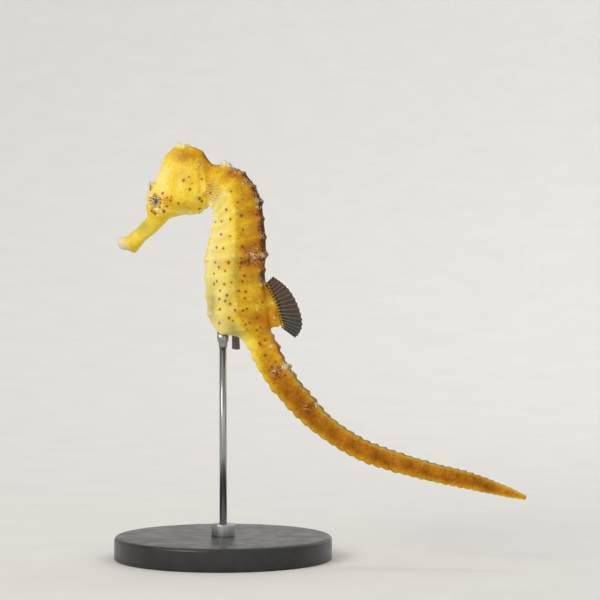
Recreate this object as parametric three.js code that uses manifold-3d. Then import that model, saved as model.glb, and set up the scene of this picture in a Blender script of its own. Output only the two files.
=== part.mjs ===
// A seahorse (Hippocampus kuda, adult female) as a still, life-size museum model on a display stand.
// Millimetres, +Z up. The animal faces -X, its left side is at -Y, and y = 0 is its plane of symmetry.
// The origin is the centre of the underside of the stand's base.
import * as THREE from "three";
import { mergeVertices } from "three/addons/utils/BufferGeometryUtils.js";
import Module from "manifold-3d";

const wasm = await Module();
wasm.setup();

// ---------------------------------------------------------------- driving dimensions
const GAP = 0.3; // clear space between neighbouring nodes
const FIN_THICKNESS = 0.5; // web of a fin
const RAY_RELIEF = 0.12; // how far a fin ray stands proud of the web, on each side

const TRUNK_RINGS = 11; // bony rings from the shoulder to the anal fin
const TAIL_RINGS = 36; // bony rings from the anal fin to the tip
const FIRST_TAIL_RING = TRUNK_RINGS + 1;
const TAIL_TIP = FIRST_TAIL_RING + TAIL_RINGS;
const TAIL_PITCH = { base: 2.7, tip: 1.24 }; // length of a ring at each end of the tail

const RIDGE_RISE = 0.3; // height of a ring's blunt spine on the ridges of the trunk
const PROUD_RINGS = [1, 4, 7]; // trunk rings with taller spines
const PROUD_RISE = 0.25; // what those spines add
const TAIL_RISE = 0.075; // height of a tail ring's spine, as a share of the tail's depth
const CREASE = 0.1; // depth of the groove between two rings on the flank

const EYE = { x: -14.5, y: 2.3, z: 78.7, radius: 1.65, bulge: 1.25 };
const BROW = { x: -15.7, y: 1.6, z: 82.3, radius: 0.6, height: 0.75 };
const CORONET = { x: -9, z: 90.3, length: 3, width: 2.5, lobes: 5, lobeRadius: 0.72, rise: 1.3 };

const DEGREE = Math.PI / 180;
const FIN_STEPS = 3; // faces along a ray
const SLOT_COLUMNS = 9; // lines of points across a fin's slot
const SLOT_ENDS = 1.8; // room at the ends of a slot over its clearance, as the end rays slant
// A fin's foot runs from its first ray to its last as [share, x, z, y]; angles are above the
// horizontal, reach is the free length of a ray, and root is how deep it is seated.
const DORSAL = {
  rays: 17,
  root: 0.6,
  base: [[0, 10.0, 60.9], [0.35, 11.8, 57.2], [0.7, 13.1, 53.4], [1, 13.7, 50.7]],
  angle: [[0, 44], [0.25, 36], [0.5, 10], [0.75, -14], [1, -36]],
  reach: [[0, 1.9], [0.25, 3.4], [0.5, 4.4], [0.75, 4.8], [0.9, 4.1], [1, 3.2]],
};
const ANAL = {
  rays: 4,
  root: 0.5,
  base: [[0, 2.1, 49.2], [1, 3.6, 49.0]],
  angle: [[0, -91], [1, -86]],
  reach: [[0, 3.0], [0.5, 3.1], [1, 2.9]],
};
const PECTORAL = {
  rays: 9,
  root: 0.5,
  splay: 20,
  base: [[0, -3.5, 83.0, 3.25], [0.5, -3.2, 81.3, 3.55], [1, -3.3, 79.6, 3.5]],
  angle: [[0, 18], [0.5, 0], [1, -20]],
  reach: [[0, 2.6], [0.3, 3.6], [0.7, 3.7], [1, 2.6]],
};
// The fleshy foot of the dorsal fin runs between two shares of the fin's own foot.
const HUMP = { from: 0.02, to: 1, half: 1.7, depth: 3.8, slope: 0.12, lip: 0.8, taper: 0.35, steps: 8 };

const LIP_CUT = -10.2; // between the mouth and the snout
const NECK_CUTS = [-7, -0.5, 2.5]; // from the snout to the head, the neck and the trunk
const TRUNK_CUTS = [5.5, 8.5]; // between the trunk's three lengths
const TAIL_CUTS = [FIRST_TAIL_RING + 0.5, 17.5, 24.5, 31.5, 39.5, TAIL_TIP];
const TAIL_COLORS = ["#d3a638", "#a9712a", "#b9742a", "#c8892e", "#cf8f2d"];

const BASE = { radius: 24, height: 5, chamfer: 0.8 };
const COLLAR = { radius: 2.6, height: 2.4, chamfer: 0.4 };
const ROD_RADIUS = 0.8;
const CRADLE = { radius: 1.5, stem: 0.95, bottom: 46.6, top: 50.4 };

// ---------------------------------------------------------------- cross-sections of the body
// Each profile is half a section, from the middle of the back to the middle of the belly:
// [height, side] as shares of the half depth and half width, at the seven places
// back, superior ridge, upper flank, lateral ridge, lower flank, inferior ridge, keel.
const ROUND = [[1, 0], [0.87, 0.5], [0.5, 0.87], [0, 1], [-0.5, 0.87], [-0.87, 0.5], [-1, 0]];
const ORBIT = [[1, 0], [0.93, 0.5], [0.62, 0.92], [0.15, 1], [-0.4, 0.86], [-0.82, 0.5], [-1, 0]];
const CHEEK = [[1, 0], [0.95, 0.26], [0.45, 0.6], [-0.08, 0.92], [-0.5, 1], [-0.88, 0.62], [-1, 0]];
const NAPE = [[1, 0], [0.95, 0.3], [0.56, 0.68], [0.12, 0.97], [-0.42, 0.95], [-0.88, 0.55], [-1, 0]];
const TRUNK = [[0.95, 0], [1, 0.5], [0.62, 0.84], [0.2, 1], [-0.34, 0.82], [-0.82, 0.42], [-1, 0]];
const HIP = [[1, 0], [0.97, 0.5], [0.58, 0.86], [0.12, 1], [-0.42, 0.86], [-0.86, 0.5], [-1, 0]];
const TAIL = [[0.92, 0], [1, 0.7], [0.5, 0.94], [0, 1], [-0.5, 0.95], [-1, 0.72], [-0.92, 0]];

// The body's own measure runs through whole numbers at the rings: 1 to 11 on the trunk, then
// 12 to 48 on the tail. Negative values are the head, with the lips at -12.
const HEAD_SECTIONS = [
  { at: -12, back: [-23.9, 70.1], belly: [-23.9, 69.2], half: 0.8, profile: ROUND },
  { at: -11.5, back: [-23.4, 70.7], belly: [-22.9, 68.2], half: 1.35, profile: ROUND },
  { at: -11, back: [-22.3, 70.9], belly: [-21.4, 67.8], half: 1.55, profile: ROUND },
  { at: -10.5, back: [-21.5, 71.3], belly: [-20.1, 67.3], half: 1.6, profile: ROUND },
  { at: -10, back: [-20.7, 72.0], belly: [-19.1, 68.3], half: 1.5, profile: ROUND },
  { at: -9, back: [-19.3, 73.1], belly: [-17.4, 70.2], half: 1.4, profile: ROUND },
  { at: -8, back: [-18.1, 74.3], belly: [-15.4, 71.7], half: 1.5, profile: ROUND },
  { at: -7, back: [-17.2, 75.5], belly: [-13.5, 73.6], half: 1.95, profile: ROUND },
  { at: -6, back: [-17.2, 77.1], belly: [-11.9, 75.0], half: 2.7, profile: ORBIT },
  { at: -5, back: [-17.0, 79.5], belly: [-10.3, 75.4], half: 3.1, profile: ORBIT },
  { at: -4, back: [-16.1, 82.2], belly: [-8.8, 75.7], half: 3.3, profile: ORBIT },
  { at: -3, back: [-14.3, 85.2], belly: [-7.4, 75.8], half: 3.7, profile: CHEEK },
  { at: -2, back: [-12.9, 88.7], belly: [-6.3, 75.9], half: 3.9, profile: CHEEK },
  { at: -1.5, back: [-11.0, 90.2], belly: [-5.6, 76.1], half: 3.95, profile: CHEEK },
  { at: -1, back: [-8.2, 90.5], belly: [-4.8, 76.6], half: 3.85, profile: CHEEK },
  { at: -0.5, back: [-5.0, 89.8], belly: [-3.8, 77.2], half: 3.6, profile: CHEEK },
  { at: 0, back: [-3.7, 88.1], belly: [-3.0, 77.6], half: 3.5, profile: NAPE },
  { at: 0.5, back: [-2.1, 86.6], belly: [-2.5, 77.4], half: 3.6, profile: NAPE },
];
const TRUNK_SECTIONS = [
  { at: 1, back: [0.8, 86.7], belly: [-2.2, 77.2], half: 3.8, profile: NAPE },
  { at: 2, back: [4.3, 84.7], belly: [-1.9, 76.1], half: 4.2, profile: TRUNK },
  { at: 3, back: [6.6, 81.9], belly: [-2.1, 74.3], half: 4.5, profile: TRUNK },
  { at: 4, back: [8.0, 78.6], belly: [-2.5, 72.5], half: 4.6, profile: TRUNK },
  { at: 5, back: [8.5, 74.8], belly: [-3.1, 70.3], half: 4.7, profile: TRUNK },
  { at: 6, back: [8.9, 70.8], belly: [-3.6, 68.1], half: 4.9, profile: TRUNK },
  { at: 7, back: [9.0, 67.0], belly: [-4.0, 65.9], half: 5.1, profile: TRUNK },
  { at: 8, back: [8.7, 63.6], belly: [-4.0, 61.9], half: 5.1, profile: TRUNK },
  { at: 9, back: [9.2, 60.4], belly: [-3.8, 57.8], half: 5.1, profile: TRUNK },
  { at: 10, back: [10.0, 56.0], belly: [-3.3, 53.9], half: 4.8, profile: HIP },
  { at: 10.5, back: [10.3, 53.6], belly: [-2.5, 51.6], half: 4.35, profile: HIP },
  { at: 11, back: [10.4, 51.5], belly: [-0.7, 49.6], half: 3.85, profile: HIP },
  { at: 11.5, back: [10.6, 49.9], belly: [3.3, 49.0], half: 3.25, profile: HIP },
];

// The tail's centreline, and its depth at shares of its length.
const TAIL_LINE = [
  [8.4, 48.2], [10.7, 43.6], [13.6, 39.2], [18.0, 34.2], [22.7, 29.7], [30.9, 24.7],
  [38.5, 22.1], [46.5, 20.0], [54.5, 18.3], [62.3, 16.2], [67.0, 14.8],
];
const TAIL_DEPTH = [[0, 5.4], [0.15, 5.0], [0.25, 4.7], [0.35, 4.1], [0.6, 3.7], [0.82, 3.1], [0.93, 2.1], [1, 1.0]];
const TAIL_WIDTH_SHARE = 0.5; // half width of the tail over its depth

// ---------------------------------------------------------------- curves and sections
/** A smooth curve through keys [at, numbers...], by finite-difference tangents. */
function curveThrough(keys) {
  const slope = keys.map((key, i) => {
    const before = keys[Math.max(i - 1, 0)];
    const after = keys[Math.min(i + 1, keys.length - 1)];
    return key.map((_, n) => (after[n] - before[n]) / (after[0] - before[0]));
  });
  return (at) => {
    const found = keys.findIndex((key) => key[0] > at);
    const i = found < 0 ? keys.length - 2 : Math.max(found - 1, 0);
    const span = keys[i + 1][0] - keys[i][0];
    const t = (at - keys[i][0]) / span;
    const h = [2 * t ** 3 - 3 * t ** 2 + 1, t ** 3 - 2 * t ** 2 + t, 3 * t ** 2 - 2 * t ** 3, t ** 3 - t ** 2];
    return keys[i].map((value, n) => (
      h[0] * value + h[1] * span * slope[i][n] + h[2] * keys[i + 1][n] + h[3] * span * slope[i + 1][n]
    )).slice(1);
  };
}

/** The tail's sections, one for each ring, square to its centreline. */
function tailSections() {
  const points = TAIL_LINE.map(([x, z]) => new THREE.Vector3(x, 0, z));
  const line = new THREE.CatmullRomCurve3(points, false, "centripetal");
  const depthAt = curveThrough(TAIL_DEPTH);
  const shortening = (TAIL_PITCH.base - TAIL_PITCH.tip) / (2 * TAIL_RINGS);
  const travelled = (ring) => TAIL_PITCH.base * ring - shortening * ring ** 2;
  return Array.from({ length: TAIL_RINGS + 1 }, (_, ring) => {
    const share = travelled(ring) / travelled(TAIL_RINGS);
    const centre = line.getPointAt(share);
    const tangent = line.getTangentAt(share);
    const [depth] = depthAt(share);
    const up = new THREE.Vector3(-tangent.z, 0, tangent.x).multiplyScalar(depth / 2);
    return {
      at: FIRST_TAIL_RING + ring,
      back: [centre.x + up.x, centre.z + up.z],
      belly: [centre.x - up.x, centre.z - up.z],
      half: depth * TAIL_WIDTH_SHARE,
      profile: TAIL,
    };
  });
}

const sectionAt = curveThrough([...HEAD_SECTIONS, ...TRUNK_SECTIONS, ...tailSections()]
  .map(({ at, back, belly, half, profile }) => [at, ...back, ...belly, half, ...profile.flat()]));

const RIDGES = [1, 3, 5, 7, 9, 11]; // places of the ridges round a section, with the back at 0

/** Height of the blunt spines on the ridges at a place along the body. */
function spineRise(at, depth) {
  const ring = Math.round(at);
  const crest = (0.5 + 0.5 * Math.cos(2 * Math.PI * at)) ** 2;
  if (ring < 1 || ring === TRUNK_RINGS || at > TAIL_TIP - 0.5) {
    return 0;
  }
  if (ring >= FIRST_TAIL_RING) {
    return crest * TAIL_RISE * depth;
  }
  return crest * (RIDGE_RISE + (PROUD_RINGS.includes(ring) ? PROUD_RISE : 0));
}

/** One closed ring of points round the body, perSide of them between two places of the profile. */
function bodyRing(at, perSide) {
  const [backX, backZ, bellyX, bellyZ, half, ...flat] = sectionAt(at);
  const centre = new THREE.Vector3((backX + bellyX) / 2, 0, (backZ + bellyZ) / 2);
  const up = new THREE.Vector3((backX - bellyX) / 2, 0, (backZ - bellyZ) / 2);
  const halfDepth = up.length();
  const left = Array.from({ length: 7 }, (_, i) => [flat[2 * i], flat[2 * i + 1]]);
  const right = left.slice(1, -1).reverse().map(([height, side]) => [height, -side]);
  const places = [...left, ...right];
  const loop = new THREE.CatmullRomCurve3(places.map(([height, side]) => (
    up.clone().multiplyScalar(height).add(new THREE.Vector3(0, -half * side, 0))
  )), true, "catmullrom", 0.5);
  const rise = spineRise(at, 2 * halfDepth);
  const crease = at > 1.5 && at < TRUNK_RINGS ? CREASE * (0.5 - 0.5 * Math.cos(2 * Math.PI * at)) : 0;
  const count = places.length * perSide;
  return Array.from({ length: count }, (_, k) => {
    const place = k / perSide;
    const offset = loop.getPoint(k / count);
    const toRidge = Math.min(...RIDGES.map((ridge) => Math.abs(place - ridge)));
    const ridge = Math.exp(-((toRidge / 0.4) ** 2));
    const grown = 1 + (rise * ridge - crease * (1 - ridge)) / offset.length();
    return offset.multiplyScalar(grown).add(centre);
  });
}

// ---------------------------------------------------------------- meshes
/** A closed geometry from rings of points, with a fan over each end. */
function closedLoft(rings) {
  const around = rings[0].length;
  const ends = [rings[0], rings.at(-1)].map((ring) => (
    ring.reduce((sum, point) => sum.add(point), new THREE.Vector3()).divideScalar(around)
  ));
  const points = [...rings.flat(), ...ends];
  const firstEnd = rings.length * around;
  const faces = [];
  for (let k = 0; k < around; k++) {
    const next = (k + 1) % around;
    for (let r = 0; r + 1 < rings.length; r++) {
      const corner = r * around;
      faces.push(corner + k, corner + around + k, corner + next);
      faces.push(corner + next, corner + around + k, corner + around + next);
    }
    faces.push(firstEnd, k, next);
    faces.push(firstEnd + 1, firstEnd - around + next, firstEnd - around + k);
  }
  const geometry = new THREE.BufferGeometry().setFromPoints(points);
  geometry.setIndex(faces);
  return outward(geometry);
}

/** The geometry, turned so that its faces look outward. */
function outward(geometry) {
  const solid = geometry.index ? geometry : mergeVertices(geometry);
  const { array } = solid.attributes.position;
  const corner = (n) => new THREE.Vector3().fromArray(array, 3 * solid.index.array[n]);
  let volume = 0;
  for (let n = 0; n < solid.index.count; n += 3) {
    volume += corner(n).dot(corner(n + 1).cross(corner(n + 2)));
  }
  if (volume < 0) {
    solid.index.array.reverse();
  }
  solid.computeVertexNormals();
  return solid;
}

/** A three.js geometry as a manifold solid. */
function toSolid(geometry) {
  const plain = geometry.clone();
  Object.keys(plain.attributes).filter((name) => name !== "position").forEach((name) => plain.deleteAttribute(name));
  const welded = mergeVertices(plain, 1e-4);
  const vertProperties = Float32Array.from(welded.attributes.position.array);
  const triVerts = Uint32Array.from(welded.index.array);
  return new wasm.Manifold(new wasm.Mesh({ numProp: 3, vertProperties, triVerts }));
}

/** A manifold solid as a three.js geometry. */
function toGeometry(solid) {
  const { vertProperties, triVerts } = solid.getMesh();
  const geometry = new THREE.BufferGeometry();
  geometry.setAttribute("position", new THREE.BufferAttribute(Float32Array.from(vertProperties), 3));
  geometry.setIndex(Array.from(triVerts));
  geometry.computeVertexNormals();
  return geometry;
}

/** An ellipsoid at a place, with its three radii. */
function ellipsoid([x, y, z], [rx, ry, rz], detail = 10) {
  return new THREE.SphereGeometry(1, detail, detail * 0.625).scale(rx, ry, rz).translate(x, y, z);
}

/** A round upright piece with chamfered rims, from z = bottom up. */
function turned(radius, height, chamfer, bottom, segments) {
  const profile = [
    [0, 0], [radius - chamfer, 0], [radius, chamfer],
    [radius, height - chamfer], [radius - chamfer, height], [0, height],
  ].map(([r, z]) => new THREE.Vector2(r, z));
  const lathe = new THREE.LatheGeometry(profile, segments).rotateX(Math.PI / 2).translate(0, 0, bottom);
  return toGeometry(toSolid(outward(lathe)));
}

// ---------------------------------------------------------------- body
/** A length of the body between two places, half a gap short of each cut. */
function bodyLength(from, to, step, perSide) {
  const half = GAP / 2;
  const pace = (at) => {
    const [ax, az, bx, bz] = sectionAt(at - 0.05);
    const [cx, cz, dx, dz] = sectionAt(at + 0.05);
    return Math.hypot(cx + dx - ax - bx, cz + dz - az - bz) / 0.2;
  };
  const start = from <= HEAD_SECTIONS[0].at ? from : from + half / pace(from);
  const end = to >= TAIL_TIP ? to : to - half / pace(to);
  const places = [start];
  for (let at = Math.ceil(start / step + 0.3) * step; at < end - step * 0.3; at += step) {
    places.push(at);
  }
  places.push(end);
  return closedLoft(places.map((at) => bodyRing(at, perSide)));
}

/** An eye, grown by a clearance where it is used as its own socket. */
function eye(side, clearance = 0) {
  const { x, y, z, radius, bulge } = EYE;
  return ellipsoid([x, side * y, z], [radius + clearance, bulge + clearance, radius + clearance], 14);
}

/** The blunt spine over an eye. */
function brow(side) {
  const { x, y, z, radius, height } = BROW;
  return ellipsoid([x, side * y, z], [radius, radius * 0.8, height], 10);
}

/** The low crown of rounded lobes on the head. */
function coronet(clearance = 0) {
  const { x, z, length, width, lobes, lobeRadius, rise } = CORONET;
  let crown = toSolid(ellipsoid([x, 0, z], [length / 2 + clearance, width / 2 + clearance, rise * 0.75 + clearance]));
  for (let lobe = 0; lobe < lobes; lobe++) {
    const turn = (2 * Math.PI * lobe) / lobes;
    const place = [x + Math.cos(turn) * (length / 2 - 0.3), Math.sin(turn) * (width / 2 - 0.2), z + rise * 0.22];
    const radii = [lobeRadius, lobeRadius, rise * 0.75].map((radius) => radius + clearance);
    crown = crown.add(toSolid(ellipsoid(place, radii, 8)));
  }
  return crown;
}

/** The head with its eye sockets, brow spines and the seat of the coronet. */
function head() {
  let solid = toSolid(bodyLength(...NECK_CUTS.slice(0, 2), 0.5, 2));
  for (const side of [-1, 1]) {
    solid = solid.add(toSolid(brow(side))).subtract(toSolid(eye(side, GAP)));
  }
  return toGeometry(solid.subtract(coronet(GAP)));
}

// ---------------------------------------------------------------- fins
/** A closed web with a rib along each ray: placeAt(u, v) runs across the rays and out along them. */
function finWeb(rays, placeAt, normal, clearance = 0) {
  const columns = clearance > 0 ? SLOT_COLUMNS : 2 * rays - 1;
  const layers = [1, -1].map((face) => Array.from({ length: columns }, (_, column) => (
    Array.from({ length: FIN_STEPS + 1 }, (_, step) => {
      const v = step / FIN_STEPS;
      const rib = clearance > 0 || column % 2 === 0 ? RAY_RELIEF * (1 - v) : 0;
      const half = FIN_THICKNESS / 2 + rib + clearance;
      return placeAt(column / (columns - 1), v).addScaledVector(normal, face * half);
    })
  )));
  const [front, rear] = layers;
  return closedLoft(front.map((line, column) => [...line, ...[...rear[column]].reverse()]));
}

/** A fin from its table of sizes, grown by a clearance where it is used as its own slot. */
function fin({ rays, base, angle, reach, root, splay = 0 }, side = 0, clearance = 0) {
  const footAt = curveThrough(base);
  const angleAt = curveThrough(angle);
  const reachAt = curveThrough(reach);
  const spare = SLOT_ENDS * clearance / Math.hypot(...[0, 1].map((n) => footAt(1)[n] - footAt(0)[n]));
  const across = new THREE.Vector3(-side * Math.sin(splay * DEGREE), Math.cos(splay * DEGREE), 0);
  const placeAt = (u, v) => {
    const place = u * (1 + 2 * spare) - spare;
    const [x, z, y = 0] = footAt(place);
    const [turn] = angleAt(place);
    const [length] = reachAt(place);
    const flat = Math.cos(turn * DEGREE);
    const out = new THREE.Vector3(flat * across.y, -flat * across.x, Math.sin(turn * DEGREE));
    const along = v * (length + root + clearance) - root - clearance;
    return new THREE.Vector3(x, side * y, z).addScaledVector(out, along);
  };
  return finWeb(rays, placeAt, across, clearance);
}

/** The fleshy foot under the dorsal fin: ovals from inside the back out to the fin's base. */
function hump() {
  const footAt = curveThrough(DORSAL.base);
  const rings = Array.from({ length: HUMP.steps + 1 }, (_, step) => {
    const u = HUMP.from + (HUMP.to - HUMP.from) * (step / HUMP.steps);
    const [x, z] = footAt(u);
    const swell = Math.sqrt(Math.max(0.02, 1 - (2 * step / HUMP.steps - 1) ** 4));
    const inner = new THREE.Vector3(x - HUMP.depth, 0, z + HUMP.depth * HUMP.slope);
    const outer = new THREE.Vector3(x - HUMP.lip * (1 - swell), 0, z);
    const middle = inner.clone().lerp(outer, 0.5);
    const reach = outer.clone().sub(middle);
    return Array.from({ length: 12 }, (__, k) => {
      const turn = (2 * Math.PI * k) / 12;
      const half = HUMP.half * swell * (1 - HUMP.taper * Math.cos(turn));
      const aside = new THREE.Vector3(0, half * Math.sin(turn), 0);
      return middle.clone().addScaledVector(reach, Math.cos(turn)).add(aside);
    });
  });
  return closedLoft(rings);
}

// ---------------------------------------------------------------- stand
/** The cup under the belly, hollowed to the belly's shape, on the end of the rod. */
function cradle(belly) {
  const { radius, stem, bottom, top } = CRADLE;
  const profile = [[0, bottom], [stem, bottom], [radius, bottom + 1.4], [radius, top], [0, top]];
  const cup = toSolid(outward(new THREE.LatheGeometry(profile.map(([r, z]) => new THREE.Vector2(r, z)), 16)
    .rotateX(Math.PI / 2)));
  return toGeometry(cup.subtract(toSolid(belly).translate(-GAP / 2, 0, -GAP)).decompose()
    .reduce((low, piece) => (piece.boundingBox().min[2] < low.boundingBox().min[2] ? piece : low)));
}

// ---------------------------------------------------------------- the scene
const seahorse = new THREE.Group();

/** Adds one named part with its own finish. */
function add(name, geometry, color, roughness = 0.45, metalness = 0) {
  const mesh = new THREE.Mesh(geometry, new THREE.MeshStandardMaterial({ color, roughness, metalness }));
  mesh.name = name;
  seahorse.add(mesh);
}

add("mouth", bodyLength(HEAD_SECTIONS[0].at, LIP_CUT, 0.25, 2), "#d9d3ae");
add("snout", bodyLength(LIP_CUT, NECK_CUTS[0], 1, 2), "#cdbb4c");
add("head", head(), "#dcbb3e");
add("coronet", toGeometry(coronet()), "#dccf9c");
add("eye_left", eye(-1), "#4a3418", 0.12);
add("eye_right", eye(1), "#4a3418", 0.12);

const neck = [-1, 1].reduce(
  (solid, side) => solid.subtract(toSolid(fin(PECTORAL, side, GAP))),
  toSolid(bodyLength(...NECK_CUTS.slice(1), 1 / 3, 2)),
);
add("neck", toGeometry(neck), "#d9a930");
add("trunk_upper", bodyLength(NECK_CUTS[2], TRUNK_CUTS[0], 1 / 3, 2), "#d8ac38");
add("trunk_middle", bodyLength(...TRUNK_CUTS, 1 / 3, 2), "#d4a93c");
const lowerTrunk = bodyLength(TRUNK_CUTS[1], TAIL_CUTS[0], 1 / 3, 2);
add("trunk_lower", toGeometry(toSolid(lowerTrunk).add(toSolid(hump())).subtract(toSolid(fin(DORSAL, 0, GAP)))
  .subtract(toSolid(fin(ANAL, 0, GAP)))), "#cfae40");
TAIL_CUTS.slice(0, -1).forEach((from, n) => {
  add(`tail_${n + 1}`, bodyLength(from, TAIL_CUTS[n + 1], 0.5, 1), TAIL_COLORS[n]);
});

add("dorsal_fin", fin(DORSAL), "#6d6258", 0.3);
add("anal_fin", fin(ANAL), "#6d6258", 0.3);
add("pectoral_fin_left", fin(PECTORAL, -1), "#b99a4a", 0.3);
add("pectoral_fin_right", fin(PECTORAL, 1), "#b99a4a", 0.3);

add("stand_base", turned(BASE.radius, BASE.height, BASE.chamfer, 0, 36), "#1b1b1d", 0.5, 0.3);
const collarFoot = BASE.height + GAP;
add("stand_collar", turned(COLLAR.radius, COLLAR.height, COLLAR.chamfer, collarFoot, 24), "#b9babc", 0.3, 1);
const rodFoot = collarFoot + COLLAR.height + GAP;
const rodLength = CRADLE.bottom - GAP - rodFoot;
add("stand_rod", new THREE.CylinderGeometry(ROD_RADIUS, ROD_RADIUS, rodLength, 16)
  .rotateX(Math.PI / 2).translate(0, 0, rodFoot + rodLength / 2), "#b9babc", 0.3, 1);
add("stand_cradle", cradle(lowerTrunk), "#b9babc", 0.3, 1);

export default seahorse;
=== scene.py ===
"""A still, life-size spotted seahorse on a display stand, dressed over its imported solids.

Sizes in the classes are in millimetres unless a name says otherwise; meshes are written in metres.
The animal faces -X, its left side is at -Y, +Z is up and y = 0 is its plane of symmetry.
"""
import logging
import math
from dataclasses import dataclass, field
from enum import Enum

import bpy
import numpy as np
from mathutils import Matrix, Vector
from mathutils.bvhtree import BVHTree


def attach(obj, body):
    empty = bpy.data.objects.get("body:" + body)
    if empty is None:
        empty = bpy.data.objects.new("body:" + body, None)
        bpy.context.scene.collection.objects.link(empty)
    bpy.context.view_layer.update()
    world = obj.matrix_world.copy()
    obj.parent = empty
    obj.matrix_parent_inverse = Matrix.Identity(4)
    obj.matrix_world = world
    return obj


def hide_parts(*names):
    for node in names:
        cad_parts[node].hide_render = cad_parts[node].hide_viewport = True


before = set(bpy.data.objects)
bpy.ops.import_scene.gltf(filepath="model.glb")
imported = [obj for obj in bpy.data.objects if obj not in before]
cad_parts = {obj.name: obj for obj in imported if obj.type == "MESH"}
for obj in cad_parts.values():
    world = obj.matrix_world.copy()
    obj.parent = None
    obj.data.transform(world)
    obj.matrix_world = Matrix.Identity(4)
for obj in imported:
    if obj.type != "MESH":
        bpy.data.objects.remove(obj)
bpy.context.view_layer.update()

MM = 0.001
BODY = "root"
log = logging.getLogger("seahorse")

Array = np.ndarray
Colour = tuple[float, float, float, float]
Piece = bpy.types.Object
Mesh = bpy.types.Mesh
Material = bpy.types.Material
Node = bpy.types.Node
Socket = bpy.types.NodeSocket
Tree = bpy.types.NodeTree

EYE_CENTRE = (-14.5, 2.3, 78.7)
LOOP = 12  # places round the body: 0 is the middle of the back and 6 the keel


# ---------------------------------------------------------------- small helpers
def paint(code: str, alpha: float = 1.0) -> Colour:
    """Turns a colour written as RRGGBB into linear light.

    Args:
        code: six hexadecimal digits.
        alpha: opacity to carry along.

    Returns:
        Red, green, blue and alpha for a colour socket.
    """
    parts = [int(code[i:i + 2], 16) / 255 for i in (0, 2, 4)]
    red, green, blue = (p / 12.92 if p <= 0.04045 else ((p + 0.055) / 1.055) ** 2.4 for p in parts)
    return red, green, blue, alpha


def bell(distance: Array, width: float) -> Array:
    """A smooth bump: 1 at no distance, falling to nothing past about twice the width."""
    return np.exp(-((distance / width) ** 2))


def smooth(value: Array, low: float, high: float) -> Array:
    """A smooth rise from 0 at low to 1 at high."""
    t = np.clip((value - low) / (high - low), 0.0, 1.0)
    return t * t * (3.0 - 2.0 * t)


def window(value: Array, start: float, full: float, fade: float, gone: float) -> Array:
    """A smooth rise from 0 to 1 between start and full, and back to 0 between fade and gone."""
    return smooth(value, start, full) * (1 - smooth(value, fade, gone))


def fold_over(girth: Array) -> Array:
    """Places round the body, the right flank folded onto the left: 0 is the back and 6 the keel."""
    return np.minimum(girth, LOOP - girth)


def full_turn(count: int) -> Array:
    """Angles evenly spaced round a circle."""
    return np.linspace(0, 2 * math.pi, count, endpoint=False)


def turned_rows(outline: list[tuple[float, float]], turn: Array) -> list[Array]:
    """Rings of points about the stand's axis, one for each radius and height of an outline."""
    return [np.stack([r * np.cos(turn), r * np.sin(turn), z + 0 * turn], axis=1) for r, z in outline]


def write_marks(mesh: Mesh, marks: dict[str, Array]) -> None:
    """Writes a value for each point, by attribute name; a row of three becomes a vector."""
    for label, values in marks.items():
        kind, key = ("FLOAT_VECTOR", "vector") if np.ndim(values) == 2 else ("FLOAT", "value")
        layer = mesh.attributes.new(label, kind, "POINT")
        layer.data.foreach_set(key, np.ascontiguousarray(values, dtype=np.float32).ravel())


def mesh_object(
    name: str, verts: Array, faces: list, marks: dict[str, Array] | None = None, edges: list | tuple = ()
) -> Piece:
    """Makes an object from points in millimetres.

    Args:
        name: name of the object and its mesh.
        verts: one row of x, y, z for each point.
        faces: corner numbers of each face.
        marks: values for each point, by attribute name.
        edges: pairs of points that no face joins.

    Returns:
        The new object, linked into the scene, in metres and shaded smooth.
    """
    mesh = bpy.data.meshes.new(name)
    mesh.from_pydata((np.asarray(verts) * MM).tolist(), edges, [list(face) for face in faces])
    write_marks(mesh, marks or {})
    mesh.shade_smooth()
    mesh.update()
    piece = bpy.data.objects.new(name, mesh)
    bpy.context.scene.collection.objects.link(piece)
    return piece


def loft_faces(rows: int, around: int, closed: bool = True) -> list[tuple[int, ...]]:
    """Faces of a loft whose points run round each row in turn, with a cap on each end.

    Args:
        rows: number of rows of points.
        around: points in a row.
        closed: whether each row closes on itself; an open one is a plain sheet with no caps.

    Returns:
        Corner numbers, all looking the same way.
    """
    span = around if closed else around - 1
    faces = []
    for row in range(rows - 1):
        for k in range(span):
            a, b = row * around + k, row * around + (k + 1) % around
            faces.append((a, b, b + around, a + around))
    if closed:
        faces.append(tuple(reversed(range(around))))
        faces.append(tuple(range((rows - 1) * around, rows * around)))
    return faces


def face_outward(piece: Piece) -> None:
    """Turns a closed mesh's faces to look outward, by the sign of its volume."""
    mesh = piece.data
    mesh.calc_loop_triangles()
    points = np.array([v.co for v in mesh.vertices])
    corners = points[np.array([t.vertices for t in mesh.loop_triangles])]
    volume = np.einsum("ij,ij->i", corners[:, 0], np.cross(corners[:, 1], corners[:, 2])).sum()
    if volume < 0:
        mesh.flip_normals()


def relax(points: Array, edges: Array, weight: Array, rounds: int) -> Array:
    """Moves points towards the middle of their neighbours, each by its own weight.

    Args:
        points: points of a mesh.
        edges: pairs of neighbours.
        weight: how far each point may move, from 0 to 1.
        rounds: how many times.

    Returns:
        The moved points.
    """
    size = len(points)
    first, second = edges[:, 0], edges[:, 1]
    count = np.bincount(edges.ravel(), minlength=size)
    for _ in range(rounds):
        total = [
            np.bincount(first, points[second, n], size) + np.bincount(second, points[first, n], size)
            for n in range(3)
        ]
        middle = np.stack(total, axis=1) / count[:, None]
        points = points + 0.6 * weight[:, None] * (middle - points)
    return points


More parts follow.
